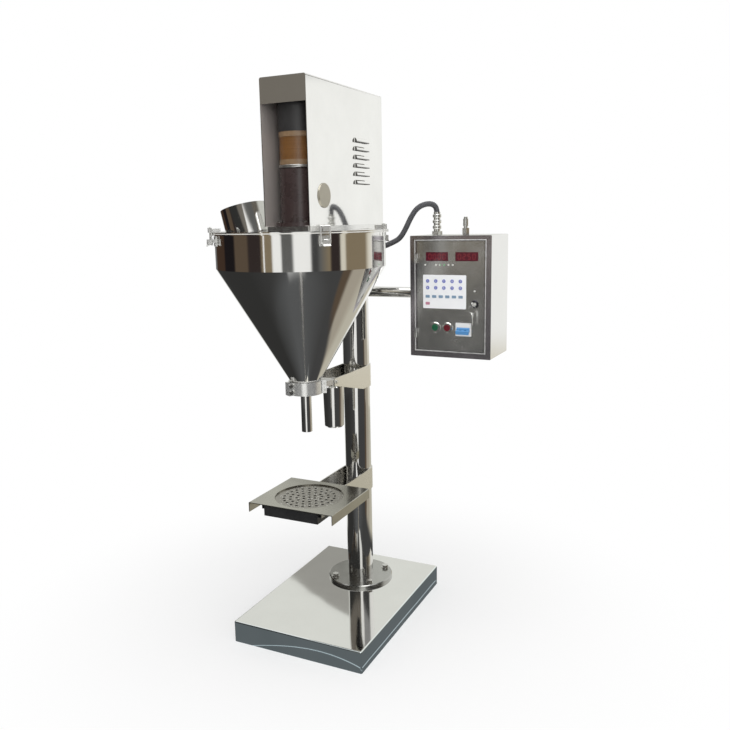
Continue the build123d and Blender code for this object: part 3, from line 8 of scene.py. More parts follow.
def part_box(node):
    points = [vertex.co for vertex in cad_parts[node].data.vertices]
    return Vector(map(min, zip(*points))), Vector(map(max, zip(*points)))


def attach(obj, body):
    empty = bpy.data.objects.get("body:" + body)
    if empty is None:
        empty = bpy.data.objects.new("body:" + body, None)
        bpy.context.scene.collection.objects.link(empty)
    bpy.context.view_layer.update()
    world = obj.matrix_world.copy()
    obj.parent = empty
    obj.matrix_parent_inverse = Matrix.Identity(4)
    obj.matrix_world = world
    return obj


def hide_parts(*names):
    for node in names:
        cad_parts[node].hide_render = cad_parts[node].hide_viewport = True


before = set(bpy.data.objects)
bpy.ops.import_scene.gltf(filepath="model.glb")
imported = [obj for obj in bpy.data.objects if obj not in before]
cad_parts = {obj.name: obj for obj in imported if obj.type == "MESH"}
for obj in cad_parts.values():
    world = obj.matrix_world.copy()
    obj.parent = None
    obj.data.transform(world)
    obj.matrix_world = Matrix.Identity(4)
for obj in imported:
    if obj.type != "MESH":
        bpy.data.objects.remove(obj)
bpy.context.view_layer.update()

# Lengths are metres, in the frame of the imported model
MM = 0.001

# Camera of the photograph
CAMERA_PLACE = Vector((1.2935, -2.4241, 1.4775))
CAMERA_AZIMUTH = radians(25.956)
CAMERA_PITCH = radians(10.715)
CAMERA_ROLL = radians(-1.092)
CAMERA_SENSOR = 36.0
CAMERA_LENS = 38.106

# Cord: control points of the conduit, from the box's gland to the column's
CONDUIT_ROUTE = [
    (0.2983, 0.2360, 1.4813), (0.2983, 0.2360, 1.5080), (0.2875, 0.2225, 1.5255),
    (0.2640, 0.2025, 1.5255), (0.2380, 0.1915, 1.5110), (0.2175, 0.1848, 1.4800),
    (0.1985, 0.1785, 1.4370), (0.1790, 0.1730, 1.4050), (0.1530, 0.1665, 1.3910),
    (0.1180, 0.1580, 1.3760), (0.0780, 0.1580, 1.3760),
]
CONDUIT_DIAMETER = 0.020
CONDUIT_RIB_PITCH = 0.0052
CONDUIT_RIB_DEPTH = 0.0008
CORD_STEPS = 48

BOX_LOW, BOX_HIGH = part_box("control_box")

# Keypad, measured from its own left lower corner
KEYPAD_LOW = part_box("keypad")[0]
KEY_FRONT = KEYPAD_LOW.y
KEYS_IN_ROW = 5
KEY_FIRST_X = KEYPAD_LOW.x + 0.017
KEY_PITCH = 0.0295
KEY_ROWS = (KEYPAD_LOW.z + 0.094, KEYPAD_LOW.z + 0.071)
KEY_RADIUS = 0.0062
KEY_SUNK = 0.0004
KEY_RISE = 0.0011
KEY_EDGE = 0.0004
WIDE_KEY_COUNT = 6
WIDE_KEY_PITCH = 0.0238
WIDE_KEY_ROW = KEYPAD_LOW.z + 0.041
WIDE_KEY_SIZE = (0.0154, 0.0094)
WIDE_KEY_CORNER = 0.0016
WIDE_KEY_REACH = (0.010, 0.006)
RESET_KEY_ROW = KEYPAD_LOW.z + 0.017
NUMERAL_SIZE = 0.0095
NUMERAL_DEPTH = 0.00012
NUMERAL_PROUD = 0.00068

# Rolled lip round the control box's opening
OPENING_X = (BOX_LOW.x + 0.0195, BOX_HIGH.x - 0.0215)
OPENING_Z = (BOX_LOW.z + 0.022, BOX_HIGH.z - 0.017)
LIP_WIDTH = 0.0036
LIP_RISE = 0.0016
LIP_SUNK = 0.0003

# Displays
DISPLAY_CENTRES = (BOX_LOW.x + 0.0985, BOX_LOW.x + 0.2045)
DISPLAY_Z = BOX_LOW.z + 0.3465
DISPLAY_FRONT = BOX_LOW.y - 0.001
DIGIT_COUNT = 4
DIGIT_PITCH = 0.017
DIGIT_HEIGHT = 0.017
DIGIT_WIDTH = 0.0095
DISPLAY_FIGURES = ("0000", "0250")
SEGMENT_WIDTH = 0.0019
SEGMENT_DEPTH = 0.0001
SEGMENT_PROUD = 0.00015
SEGMENT_TAPER = 1.1
SEGMENTS = {
    "0": "abcdef", "1": "bc", "2": "abdeg", "3": "abcdg", "4": "bcfg", "5": "acdfg",
    "6": "acdefg", "7": "abc", "8": "abcdefg", "9": "abcdfg",
}

# Row of lamps under the displays: its top, and the stretch that is green
LAMP_ROW_TOP = DISPLAY_Z - 0.0165
LAMP_GREEN_FROM = BOX_LOW.x + 0.110
LAMP_GREEN_TO = BOX_LOW.x + 0.130

# Width of the motor cover between its louvres, and the louvres' lowest edge, spacing and front end,
# which place the painted shadow under each louvre hood
COVER_WIDTH = 0.165
LOUVRE_LOW = 1.595
LOUVRE_PITCH = 0.028
LOUVRE_FRONT = 0.015

# The cone's weld seam, by its angle from the front, and the cone's ends
SEAM_ANGLE = radians(30)
CONE_LOW = 0.955
CONE_HIGH = 1.326

# The plain room that the polished steel mirrors: its centre, by its distance behind the hopper's
# front, its size, and the heights at which its bands begin
BEHIND_HOPPER_FRONT = 0.285
ROOM_CENTRE = Vector((0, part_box("hopper")[0].y + BEHIND_HOPPER_FRONT, 0))
ROOM_RADIUS = 3.4
ROOM_HEIGHT = 3.9
ROOM_LOW, ROOM_HIGH, ROOM_MIDDLE, ROOM_UPPER, ROOM_LOFTY = 0.03, 1.06, 1.52, 2.08, 2.55
BASE_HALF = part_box("base_cover")[1]

# The studio
FLOOR_RADIUS = 14.0
FLOOR_DROP = 0.0006
ROOM_LIFT = 0.0005
LAMP_TARGET = Vector((0.1, 0, 1.0))
TOP_LAMP = Vector((0.6, -0.9, 4.2))
FRONT_LAMP = Vector((2.2, -3.4, 2.6))


class Shade:
    """A socket in a node tree. Sums and products of shades add their Math nodes."""

    def __init__(self, tree, socket=None):
        self.tree = tree
        self.socket = socket

    def node(self, kind, settings=None, sockets=None, out=0):
        made = self.tree.nodes.new(kind)
        for name, value in (settings or {}).items():
            if name == "stops":
                set_stops(made.color_ramp, value)
            else:
                setattr(made, name, value)
        for name, value in (sockets or {}).items():
            if isinstance(value, Shade):
                self.tree.links.new(value.socket, made.inputs[name])
            else:
                made.inputs[name].default_value = value
        return Shade(self.tree, made.outputs[out] if len(made.outputs) else None)

    def maths(self, operation, first, second=0.0):
        return self.node("ShaderNodeMath", {"operation": operation}, {0: first, 1: second})

    def __add__(self, other):
        return self.maths("ADD", self, other)

    __radd__ = __add__

    def __mul__(self, other):
        return self.maths("MULTIPLY", self, other)

    __rmul__ = __mul__

    def __sub__(self, other):
        return self.maths("SUBTRACT", self, other)

    def __rsub__(self, other):
        return self.maths("SUBTRACT", other, self)

    def __truediv__(self, other):
        return self.maths("DIVIDE", self, other)

    def __pow__(self, other):
        return self.maths("POWER", self, other)

    def above(self, edge, soft=0.0005):
        """0 below the edge and 1 above it, over a soft step."""
        settings = {"interpolation_type": "SMOOTHSTEP"}
        sockets = {"Value": self, "From Min": edge - soft, "From Max": edge + soft}
        return self.node("ShaderNodeMapRange", settings, sockets)

    def between(self, low, high, soft=0.0005):
        return self.above(low, soft) * (1 - self.above(high, soft))

    def spread(self, low, high):
        """The 0 to 1 range stretched to low and high."""
        return self.node("ShaderNodeMapRange", {}, {"Value": self, "To Min": low, "To Max": high})

    def mix(self, first, second):
        """From the first colour to the second as this value goes from 0 to 1."""
        settings = {"data_type": "RGBA"}
        return self.node("ShaderNodeMix", settings, {0: self, 6: first, 7: second}, out=2)


def set_stops(ramp, stops):
    while len(ramp.elements) < len(stops):
        ramp.elements.new(1.0)
    for element, (place, colour) in zip(ramp.elements, stops):
        element.position = place
        element.color = colour


def rgb(red, green, blue):
    return (red, green, blue, 1.0)


def grey(level):
    return (level, level, level, 1.0)


class Finish:
    """A surface material: its tree's coordinates, noise and the shader that ends it."""

    def __init__(self, name):
        self.material = bpy.data.materials.new(name)
        self.material.use_nodes = True
        self.tree = self.material.node_tree
        self.tree.nodes.clear()
        self.start = Shade(self.tree)
        self.place = self.start.node("ShaderNodeTexCoord", out="Object")

    def axis(self, letter):
        return self.start.node("ShaderNodeSeparateXYZ", {}, {0: self.place}, out=letter)

    def noise(self, scale, detail=2.0, stretch=(1, 1, 1), rough=0.5):
        at = self.place
        if stretch != (1, 1, 1):
            at = self.start.node("ShaderNodeMapping", {}, {"Vector": at, "Scale": stretch})
        sockets = {"Vector": at, "Scale": scale, "Detail": detail, "Roughness": rough}
        return self.start.node("ShaderNodeTexNoise", {}, sockets)

    def ramp(self, value, *stops):
        return self.start.node("ShaderNodeValToRGB", {"stops": stops}, {0: value})

    def polished(self, ripple, lines, grain, wiped):
        """Three noises of polished sheet: a slow ripple, fine polishing lines and wiped smears."""
        return (self.noise(ripple, 1.0), self.noise(lines, 3.0, grain),
                self.noise(wiped, 4.0, rough=0.62))

    def bump(self, height, distance):
        sockets = {"Height": height, "Distance": distance, "Strength": 1.0}
        return self.start.node("ShaderNodeBump", {}, sockets)

    def surface(self, **sockets):
        named = {name.replace("_", " "): value for name, value in sockets.items()}
        shader = self.start.node("ShaderNodeBsdfPrincipled", {}, named)
        self.start.node("ShaderNodeOutputMaterial", {}, {"Surface": shader})
        return self.material


def steel(name, tone, rough, smear, wave, grain=(1, 1, 1), mottle=0.07):
    """Polished stainless sheet, with its wiped smears a little darker and duller."""
    finish = Finish(name)
    ripple, lines, wiped = finish.polished(5.0, 130.0, grain, 9.0)
    spots = finish.noise(55.0, 2.0)
    tint = finish.ramp(wiped, (0.30, grey(1 - mottle)), (0.72, grey(1.0)))
    colour = finish.start.node(
        "ShaderNodeMix", {"data_type": "RGBA", "blend_type": "MULTIPLY"},
        {0: 1.0, 6: rgb(*tone), 7: tint}, out=2)
    roughness = rough + smear * wiped ** 2.2 + 0.25 * smear * lines + 0.12 * smear * spots
    height = ripple + 0.0016 * lines
    return finish.surface(
        Base_Color=colour, Metallic=1.0, Roughness=roughness, Normal=finish.bump(height, wave))


def bolt_zinc():
    finish = Finish("bolt_zinc")
    cloud = finish.noise(160.0, 3.0)
    colour = cloud.mix(rgb(0.60, 0.60, 0.58), rgb(0.78, 0.78, 0.75))
    bump = finish.bump(finish.noise(900.0, 2.0), 0.0001)
    return finish.surface(
        Base_Color=colour, Metallic=1.0, Roughness=cloud.spread(0.16, 0.36), Normal=bump)


def satin_metal(name, low, high, rough):
    """A plain machined or cast metal part."""
    finish = Finish(name)
    cloud = finish.noise(60.0, 4.0)
    turned = finish.noise(700.0, 2.0, (0.05, 0.05, 1.0))
    bump = finish.bump(turned, 0.00008)
    roughness = rough + 0.14 * cloud + 0.06 * turned
    return finish.surface(
        Base_Color=cloud.mix(rgb(*low), rgb(*high)), Metallic=1.0, Roughness=roughness, Normal=bump)


def paint(name, low, high, rough, peel=0.00006, coat=0.0):
    """Sprayed paint or moulded plastic: a faint orange peel, dust and uneven gloss."""
    finish = Finish(name)
    cloud = finish.noise(24.0, 5.0, rough=0.6)
    peel_height = finish.noise(520.0, 2.0)
    colour = cloud.mix(rgb(*low), rgb(*high))
    return finish.surface(
        Base_Color=colour, Roughness=cloud.spread(rough, rough + 0.16), Coat_Weight=coat,
        Normal=finish.bump(peel_height, peel))


def cover_steel():
    """The motor cover's sheet: polished outside with a painted shadow under each louvre hood and at
    its front end, mill finish inside.
    """
    finish = Finish("cover_steel")
    low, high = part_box("motor_cover")
    sheet = 1.2 * MM
    half = COVER_WIDTH / 2 - sheet
    inside = (finish.axis("X").between(-half, half)
              * finish.axis("Y").between(low.y + sheet, high.y - sheet)
              * (1 - finish.axis("Z").above(high.z - sheet)))
    ripple, lines, wiped = finish.polished(4.0, 130.0, (1, 1, 0.06), 7.0)
    outer = wiped.mix(rgb(0.78, 0.78, 0.76), rgb(0.90, 0.90, 0.88))
    inner = wiped.mix(rgb(0.36, 0.325, 0.305), rgb(0.46, 0.42, 0.395))
    polish = 0.05 + 0.07 * wiped ** 2.2 + 0.02 * lines
    # Painted shadow: a dark band along the lower edge of each louvre hood and at the hoods' front
    # ends, where their shade falls
    proud = finish.start.maths("ABSOLUTE", finish.axis("X")).above(half + 2 * sheet, 0.3 * MM)
    row = finish.start.maths("FLOORED_MODULO", finish.axis("Z") - LOUVRE_LOW, LOUVRE_PITCH)
    front_end = 1 - finish.axis("Y").above(LOUVRE_FRONT + 2 * MM, 0.5 * MM)
    edge = proud * finish.start.maths("MAXIMUM", 1 - row.above(3.0 * MM, 0.5 * MM), front_end)
    outer = edge.mix(outer, rgb(0.15, 0.145, 0.14))
    roughness = polish + inside * (0.34 + 0.10 * lines) + 0.3 * edge
    return finish.surface(
        Base_Color=inside.mix(outer, inner), Metallic=1 - 0.85 * inside, Roughness=roughness,
        Normal=finish.bump(ripple + 0.002 * lines, 0.0016))


def hopper_steel():
    """Polished hopper: buffed round the cylinder, with the cone's one dressed weld seam."""
    finish = Finish("hopper_steel")
    low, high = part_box("hopper")
    x = finish.axis("X")
    y = finish.axis("Y") - (low.y + high.y) / 2
    height = finish.axis("Z")
    turn = finish.start.maths("ARCTAN2", x, 0 - y)
    seam = turn.between(SEAM_ANGLE - 0.012, SEAM_ANGLE + 0.012, 0.008)
    seam = seam * height.between(CONE_LOW, CONE_HIGH, 0.004)
    ripple, lines, wiped = finish.polished(5.0, 150.0, (1, 1, 0.05), 9.0)
    colour = wiped.mix(rgb(0.765, 0.76, 0.745), rgb(0.815, 0.81, 0.795))
    roughness = 0.04 + 0.075 * wiped ** 2.2 + 0.02 * lines + 0.22 * seam
    height_map = ripple + 0.0016 * lines + 0.12 * seam
    return finish.surface(
        Base_Color=colour, Metallic=1.0, Roughness=roughness,
        Normal=finish.bump(height_map, 0.0006))


def base_steel():
    """Mirror-polished base: wavy sheet on top, and sides tinted a darker blue-grey, a painted
    reflection.
    """
    finish = Finish("base_steel")
    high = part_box("base_cover")[1]
    top = finish.axis("Z").above(high.z - 0.8 * MM)
    ripple, lines, wiped = finish.polished(4.0, 130.0, (0.06, 1, 1), 8.0)
    # Painted reflection: the sides are tinted a darker blue-grey
    side = finish.noise(6.0, 3.0).mix(rgb(0.58, 0.68, 0.71), rgb(0.78, 0.87, 0.90))
    face = wiped.mix(rgb(0.77, 0.77, 0.75), rgb(0.84, 0.84, 0.82))
    roughness = 0.03 + 0.06 * wiped ** 2.2 + 0.015 * lines
    return finish.surface(
        Base_Color=top.mix(side, face), Metallic=1.0, Roughness=roughness,
        Normal=finish.bump(ripple + 0.0016 * lines, 0.0016))


def box_steel():
    """The control box's sheet: polished sides, and a duller rim round the door whose darker colour
    is painted shade.
    """
    finish = Finish("box_steel")
    rim = 1 - finish.axis("Y").above(BOX_LOW.y + 1.0 * MM)
    ripple, lines, wiped = finish.polished(5.0, 130.0, (1, 1, 0.06), 9.0)
    side = wiped.mix(rgb(0.745, 0.745, 0.73), rgb(0.80, 0.80, 0.785))
    # Painted shade: the rim's colour is darkened and tinted purple-grey; its extra roughness is a
    # real duller finish
    painted_shade_rim = wiped.mix(rgb(0.45, 0.425, 0.46), rgb(0.58, 0.55, 0.585))
    roughness = 0.13 + 0.12 * wiped ** 2.2 + 0.03 * lines + 0.06 * rim
    return finish.surface(
        Base_Color=rim.mix(side, painted_shade_rim), Metallic=1.0, Roughness=roughness,
        Normal=finish.bump(ripple + 0.0016 * lines, 0.0010))


def lip_trim():
    """Rolled edge round the box's opening, pale and mottled: its paleness is a painted highlight.
    """
    finish = Finish("lip_trim")
    # Painted highlight: the lip's pale, half-metallic colour stands in for the bright line it
    # catches
    lip_mottle = finish.noise(45.0, 4.0, rough=0.6)
    return finish.surface(
        Base_Color=lip_mottle.mix(rgb(0.46, 0.46, 0.45), rgb(0.68, 0.68, 0.67)), Metallic=0.35,
        Roughness=lip_mottle.spread(0.20, 0.36), Normal=finish.bump(finish.noise(600.0, 2.0), 0.00005))


def latch_nickel():
    """Satin nickel plate of the toggle latches."""
    finish = Finish("latch_nickel")
    cloud = finish.noise(70.0, 4.0)
    return finish.surface(
        Base_Color=cloud.mix(rgb(0.72, 0.72, 0.70), rgb(0.86, 0.86, 0.84)), Metallic=0.72,
        Roughness=0.18 + 0.12 * cloud, Normal=finish.bump(finish.noise(700.0, 2.0), 0.00006))


def bezel_steel():
    """Rings on the door: bright round the buttons, and a dark one round the lock."""
    finish = Finish("bezel_steel")
    key_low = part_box("lock_key")[0]
    lock = finish.axis("X").above(key_low.x - 6 * MM)
    cloud = finish.noise(60.0, 4.0)
    bright = cloud.mix(rgb(0.70, 0.70, 0.68), rgb(0.86, 0.86, 0.84))
    blacked = cloud.mix(rgb(0.045, 0.045, 0.055), rgb(0.085, 0.085, 0.10))
    return finish.surface(
        Base_Color=lock.mix(bright, blacked), Metallic=1.0,
        Roughness=0.14 + 0.14 * cloud + 0.1 * lock,
        Normal=finish.bump(finish.noise(700.0, 2.0), 0.00006))


def grid_steel():
    """The drip grid: stained sheet with small bright specks that are painted glints."""
    finish = Finish("grid_steel")
    stain = finish.noise(26.0, 4.0, rough=0.65)
    # Painted glints: scattered near-white specks, a little raised and less metallic than the sheet
    painted_glints = finish.noise(170.0, 1.0).above(0.66, 0.03)
    sheet = stain.mix(rgb(0.25, 0.235, 0.205), rgb(0.42, 0.405, 0.365))
    return finish.surface(
        Base_Color=painted_glints.mix(sheet, rgb(0.90, 0.90, 0.87)), Metallic=1 - 0.4 * painted_glints,
        Roughness=0.20 + 0.22 * stain, Normal=finish.bump(stain + 0.2 * painted_glints, 0.0006))


def coil_amber():
    """Varnished amber windings, with a paler tape band round each end."""
    finish = Finish("coil_amber")
    low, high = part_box("clutch_coil")
    band = 16 * MM
    height = finish.axis("Z")
    turns = finish.noise(60.0, 2.0, (0.02, 0.02, 9.0))
    bands = 1 - height.between(low.z + band, high.z - band, 0.0006)
    winding = turns.mix(rgb(0.105, 0.043, 0.009), rgb(0.20, 0.088, 0.020))
    tape = finish.noise(90.0, 3.0).mix(rgb(0.17, 0.105, 0.055), rgb(0.25, 0.16, 0.085))
    return finish.surface(
        Base_Color=bands.mix(winding, tape), Roughness=turns.spread(0.26, 0.42), Coat_Weight=0.25,
        Normal=finish.bump(turns, 0.0008))


def motor_black():
    finish = Finish("motor_black")
    cloud = finish.noise(30.0, 4.0)
    cast = finish.noise(420.0, 3.0)
    return finish.surface(
        Base_Color=cloud.mix(rgb(0.012, 0.012, 0.013), rgb(0.035, 0.034, 0.034)),
        Roughness=cloud.spread(0.30, 0.52), Normal=finish.bump(cast, 0.0002))


def lens_red():
    """Tinted windows over the number displays, and the small clear lamps in the row below."""
    finish = Finish("lens_red")
    cloud = finish.noise(70.0, 3.0)
    lamp = 1 - finish.axis("Z").above(LAMP_ROW_TOP)
    lens = cloud.mix(rgb(0.062, 0.006, 0.015), rgb(0.098, 0.011, 0.024))
    along = finish.axis("X").between(LAMP_GREEN_FROM, LAMP_GREEN_TO)
    lit = along.mix(rgb(0.70, 0.70, 0.66), rgb(0.22, 0.42, 0.25))
    return finish.surface(
        Base_Color=lamp.mix(lens, lit), Roughness=cloud.spread(0.08, 0.2), Coat_Weight=0.5)


def digit_red():
    finish = Finish("digit_red")
    flicker = finish.noise(240.0)
    return finish.surface(
        Base_Color=flicker.mix(rgb(0.20, 0.012, 0.020), rgb(0.28, 0.025, 0.034)), Roughness=0.35,
        Emission_Color=flicker.mix(rgb(0.6, 0.02, 0.03), rgb(0.85, 0.05, 0.06)),
        Emission_Strength=0.05)


def board_green():
    """Circuit board: solder mask with a net of paler tracks."""
    finish = Finish("board_green")
    sockets = {"Vector": finish.place, "Rotation": (pi / 2, 0, 0)}
    upright = finish.start.node("ShaderNodeMapping", {}, sockets)
    tracks = finish.start.node(
        "ShaderNodeTexBrick", {"offset": 0.37},
        {"Vector": upright, "Scale": 120.0, "Mortar Size": 0.05, "Color1": grey(0.0),
         "Color2": grey(0.12), "Mortar": grey(1.0)})
    mask = finish.noise(40.0, 2.0)
    colour = (tracks * 0.7).mix(rgb(0.010, 0.085, 0.032), rgb(0.05, 0.22, 0.09))
    return finish.surface(Base_Color=colour, Roughness=mask.spread(0.25, 0.4), Coat_Weight=0.3)


def key_plastic(name, low, high):
    finish = Finish(name)
    cloud = finish.noise(210.0, 3.0)
    return finish.surface(
        Base_Color=cloud.mix(rgb(*low), rgb(*high)), Roughness=cloud.spread(0.28, 0.44),
        Normal=finish.bump(finish.noise(1500.0), 0.00003))


def rubber(name, low, high):
    finish = Finish(name)
    cloud = finish.noise(85.0, 4.0)
    return finish.surface(
        Base_Color=cloud.mix(rgb(*low), rgb(*high)), Roughness=cloud.spread(0.48, 0.7),
        Normal=finish.bump(finish.noise(800.0, 2.0), 0.0001))


tube_steel = steel("tube_steel", (0.80, 0.795, 0.78), 0.035, 0.08, 0.0006, (1, 1, 0.05))
panel_steel = steel("panel_steel", (0.78, 0.78, 0.765), 0.16, 0.18, 0.0010, (0.05, 1, 1), 0.26)
tray_steel = steel("tray_steel", (0.47, 0.458, 0.405), 0.12, 0.18, 0.0014, (0.06, 1, 1), 0.16)
flange_steel = steel("flange_steel", (0.46, 0.46, 0.44), 0.12, 0.16, 0.0010)
bracket_steel = steel("bracket_steel", (0.80, 0.785, 0.74), 0.20, 0.14, 0.0008, (0.06, 1, 1))
inner_steel = satin_metal("inner_steel", (0.42, 0.42, 0.41), (0.60, 0.60, 0.58), 0.24)
plate_steel = satin_metal("plate_steel", (0.72, 0.72, 0.70), (0.84, 0.84, 0.82), 0.10)
dark_steel = satin_metal("dark_steel", (0.16, 0.16, 0.165), (0.26, 0.26, 0.265), 0.28)
ring_steel = satin_metal("ring_steel", (0.70, 0.70, 0.68), (0.86, 0.86, 0.84), 0.12)
plug_alloy = satin_metal("plug_alloy", (0.42, 0.395, 0.33), (0.54, 0.51, 0.43), 0.36)
gland_metal = satin_metal("gland_metal", (0.72, 0.72, 0.70), (0.86, 0.86, 0.84), 0.05)
zinc = bolt_zinc()
housing_paint = paint(
    "housing_paint", (0.026, 0.016, 0.016), (0.058, 0.038, 0.036), 0.20, 0.0001, 0.2)
# The drawer's near-black colour is painted shade, the shadow under the tray
drawer_painted_shade = paint("drawer_painted_shade", (0.010, 0.010, 0.011), (0.030, 0.030, 0.031), 0.30, 0.0001)
grey_case = paint("grey_case", (0.24, 0.25, 0.26), (0.34, 0.35, 0.36), 0.36)
breaker_plastic = paint("breaker_plastic", (0.74, 0.75, 0.75), (0.84, 0.84, 0.83), 0.30)
toggle_plastic = paint("toggle_plastic", (0.06, 0.24, 0.54), (0.11, 0.34, 0.66), 0.26)
green_plastic = paint("green_plastic", (0.006, 0.075, 0.034), (0.016, 0.125, 0.058), 0.16, coat=0.4)
red_plastic = paint("red_plastic", (0.095, 0.004, 0.010), (0.16, 0.010, 0.020), 0.16, coat=0.4)
keypad_film = paint("keypad_film", (0.84, 0.85, 0.87), (0.90, 0.905, 0.92), 0.34, 0.00002)
seal_silicone = rubber("seal_silicone", (0.62, 0.61, 0.57), (0.74, 0.73, 0.69))
conduit_skin = rubber("conduit_skin", (0.045, 0.046, 0.052), (0.090, 0.091, 0.100))
blue_key = key_plastic("blue_key", (0.13, 0.16, 0.45), (0.19, 0.22, 0.56))
teal_key = key_plastic("teal_key", (0.16, 0.27, 0.38), (0.23, 0.34, 0.46))
red_key = key_plastic("red_key", (0.46, 0.18, 0.25), (0.56, 0.26, 0.34))
legend_white = key_plastic("legend_white", (0.60, 0.62, 0.72), (0.70, 0.72, 0.80))
digit_light = digit_red()
latch_plate = latch_nickel()

NODE_FINISH = {
    "base_cover": base_steel(), "motor_cover": cover_steel(), "control_box": box_steel(),
    "tray_plate": tray_steel, "hopper": hopper_steel(), "hopper_lid": tube_steel,
    "inlet_neck": tube_steel, "column": tube_steel, "metering_tube": tube_steel,
    "vibrator_body": tube_steel, "box_arm": tube_steel, "cover_plug": plug_alloy,
    "column_flange": flange_steel, "hopper_arm": bracket_steel, "tray_bracket": bracket_steel,
    "outlet_ring_front": latch_plate, "outlet_ring_rear": latch_plate, "clutch_ring": inner_steel,
    "box_door": panel_steel, "door_hinges": ring_steel, "door_bezels": bezel_steel(),
    "head_plate": plate_steel, "base_frame": dark_steel, "mounting_plate": inner_steel,
    "perforated_disc": grid_steel(), "drawer_runners": inner_steel,
    "spindle_shaft": ring_steel, "auger_screw": tube_steel, "agitator": tube_steel,
    "spindle_bearings": ring_steel, "lock_key": ring_steel,
    "flange_bolts": zinc, "frame_bolts": zinc, "tray_bolts": zinc,
    "spindle_housing": housing_paint, "clutch_coil": coil_amber(), "drive_motor": motor_black(),
    "lid_seals": seal_silicone, "cable_glands": gland_metal,
    "spill_drawer": drawer_painted_shade, "power_modules": grey_case, "control_board": board_green(),
    "display_lenses": lens_red(), "keypad": keypad_film, "start_button": green_plastic,
    "stop_button": red_plastic, "breaker": breaker_plastic, "breaker_toggle": toggle_plastic,
    "conduit": conduit_skin,
}
for node_name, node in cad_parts.items():
    node.data.materials.clear()
    node.data.materials.append(NODE_FINISH.get(node_name, latch_plate))


def add_object(name, shape, material):
    """A new object from a bmesh, which is used up."""
    mesh = bpy.data.meshes.new(name)
    shape.to_mesh(mesh)
    shape.free()
    mesh.materials.append(material)
    made = bpy.data.objects.new(name, mesh)
    bpy.context.scene.collection.objects.link(made)
    return made


def add_piece(name, shape, material, body, smooth=False):
    """A new piece from a bmesh, closed up and with its faces outwards, that rides on a body."""
    bmesh.ops.remove_doubles(shape, verts=shape.verts, dist=1e-6)
    bmesh.ops.recalc_face_normals(shape, faces=shape.faces)
    piece = add_object(name, shape, material)
    if smooth:
        piece.data.shade_smooth()
    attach(piece, body)
    return piece


def new_verts(grown):
    return [item for item in grown if isinstance(item, bmesh.types.BMVert)]


def new_edges(grown):
    return [item for item in grown if isinstance(item, bmesh.types.BMEdge)]


def route_curve(name, route):
    curve = bpy.data.curves.new(name, "CURVE")
    curve.dimensions = "3D"
    curve.resolution_u = CORD_STEPS
    spline = curve.splines.new("NURBS")
    spline.points.add(len(route) - 1)
    for point, place in zip(spline.points, route):
        point.co = (*place, 1.0)
    spline.order_u = 3
    spline.use_endpoint_u = True
    return curve


def route_points(route):
    """Points along the route's smooth line."""
    line = bpy.data.objects.new("line", route_curve("line", route))
    mesh = bpy.data.meshes.new_from_object(line)
    points = [vertex.co.copy() for vertex in mesh.vertices]
    bpy.data.meshes.remove(mesh)
    bpy.data.objects.remove(line)
    return points


def ribbed_tube(points, radius, pitch, depth, sides=24):
    """A corrugated tube: one ring of edges drawn along the points, swelling once a pitch."""
    shape = bmesh.new()
    directions = [(after - before).normalized() for before, after in zip(points, points[1:])]
    directions.append(directions[-1])
    turn = Vector((0, 0, 1)).rotation_difference(directions[0]).to_matrix().to_4x4()
    at_start = Matrix.Translation(points[0]) @ turn
    ring = bmesh.ops.create_circle(
        shape, cap_ends=True, segments=sides, radius=radius, matrix=at_start)
    edges = {edge for vertex in ring["verts"] for edge in vertex.link_edges}
    along, size = 0.0, radius
    for index in range(1, len(points)):
        step = points[index] - points[index - 1]
        along += step.length
        wanted = radius - depth * (0.5 - 0.5 * cos(2 * pi * along / pitch))
        turn = directions[index - 1].rotation_difference(directions[index]).to_matrix().to_4x4()
        swell = turn @ Matrix.Scale(wanted / size, 4)
        back = Matrix.Translation(-points[index - 1])
        move = Matrix.Translation(points[index]) @ swell @ back
        grown = bmesh.ops.extrude_edge_only(shape, edges=list(edges))["geom"]
        edges = set(new_edges(grown))
        bmesh.ops.transform(shape, matrix=move, verts=new_verts(grown))
        size = wanted
    bmesh.ops.holes_fill(shape, edges=list(edges), sides=sides)
    return shape


def add_conduit():
    points = route_points(CONDUIT_ROUTE)
    shape = ribbed_tube(points, CONDUIT_DIAMETER / 2, CONDUIT_RIB_PITCH, CONDUIT_RIB_DEPTH)
    hose = add_piece(
        "conduit_hose", shape, conduit_skin, "frame", smooth=True)
    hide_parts("conduit")


def facing_front(x, y, z):
    """From a flat drawing to a place on the door: drawing up is up, and it looks forwards."""
    return Matrix.Translation((x, y, z)) @ Matrix.Rotation(pi / 2, 4, "X")


def round_key(shape, x, z):
    at = facing_front(x, KEY_FRONT + KEY_SUNK, z)
    disc = bmesh.ops.create_circle(
        shape, cap_ends=True, segments=28, radius=KEY_RADIUS, matrix=at)
    raise_cap(shape, disc["verts"])


def wide_key(shape, x, z):
    at = facing_front(x, KEY_FRONT + KEY_SUNK, z) @ Matrix.Diagonal((*WIDE_KEY_SIZE, 1, 1))
    plate = bmesh.ops.create_grid(shape, x_segments=1, y_segments=1, size=0.5, matrix=at)
    bmesh.ops.bevel(shape, geom=plate["verts"], offset=WIDE_KEY_CORNER, segments=4, profile=0.5,
                    affect="VERTICES", material=-1)
    near_x, near_z = WIDE_KEY_REACH
    raise_cap(shape, [vertex for vertex in shape.verts
                      if abs(vertex.co.x - x) < near_x and abs(vertex.co.z - z) < near_z])


def raise_cap(shape, verts):
    """A flat face drawn forwards into a low key cap with a softened edge."""
    faces = list({face for vertex in verts for face in vertex.link_faces})
    grown = bmesh.ops.extrude_face_region(shape, geom=faces)["geom"]
    bmesh.ops.translate(shape, verts=new_verts(grown), vec=(0, -KEY_RISE, 0))
    bmesh.ops.bevel(shape, geom=new_edges(grown), offset=KEY_EDGE, segments=2, profile=0.5,
                    affect="EDGES", material=-1)


def key_xs(count, pitch):
    return [KEY_FIRST_X + index * pitch for index in range(count)]


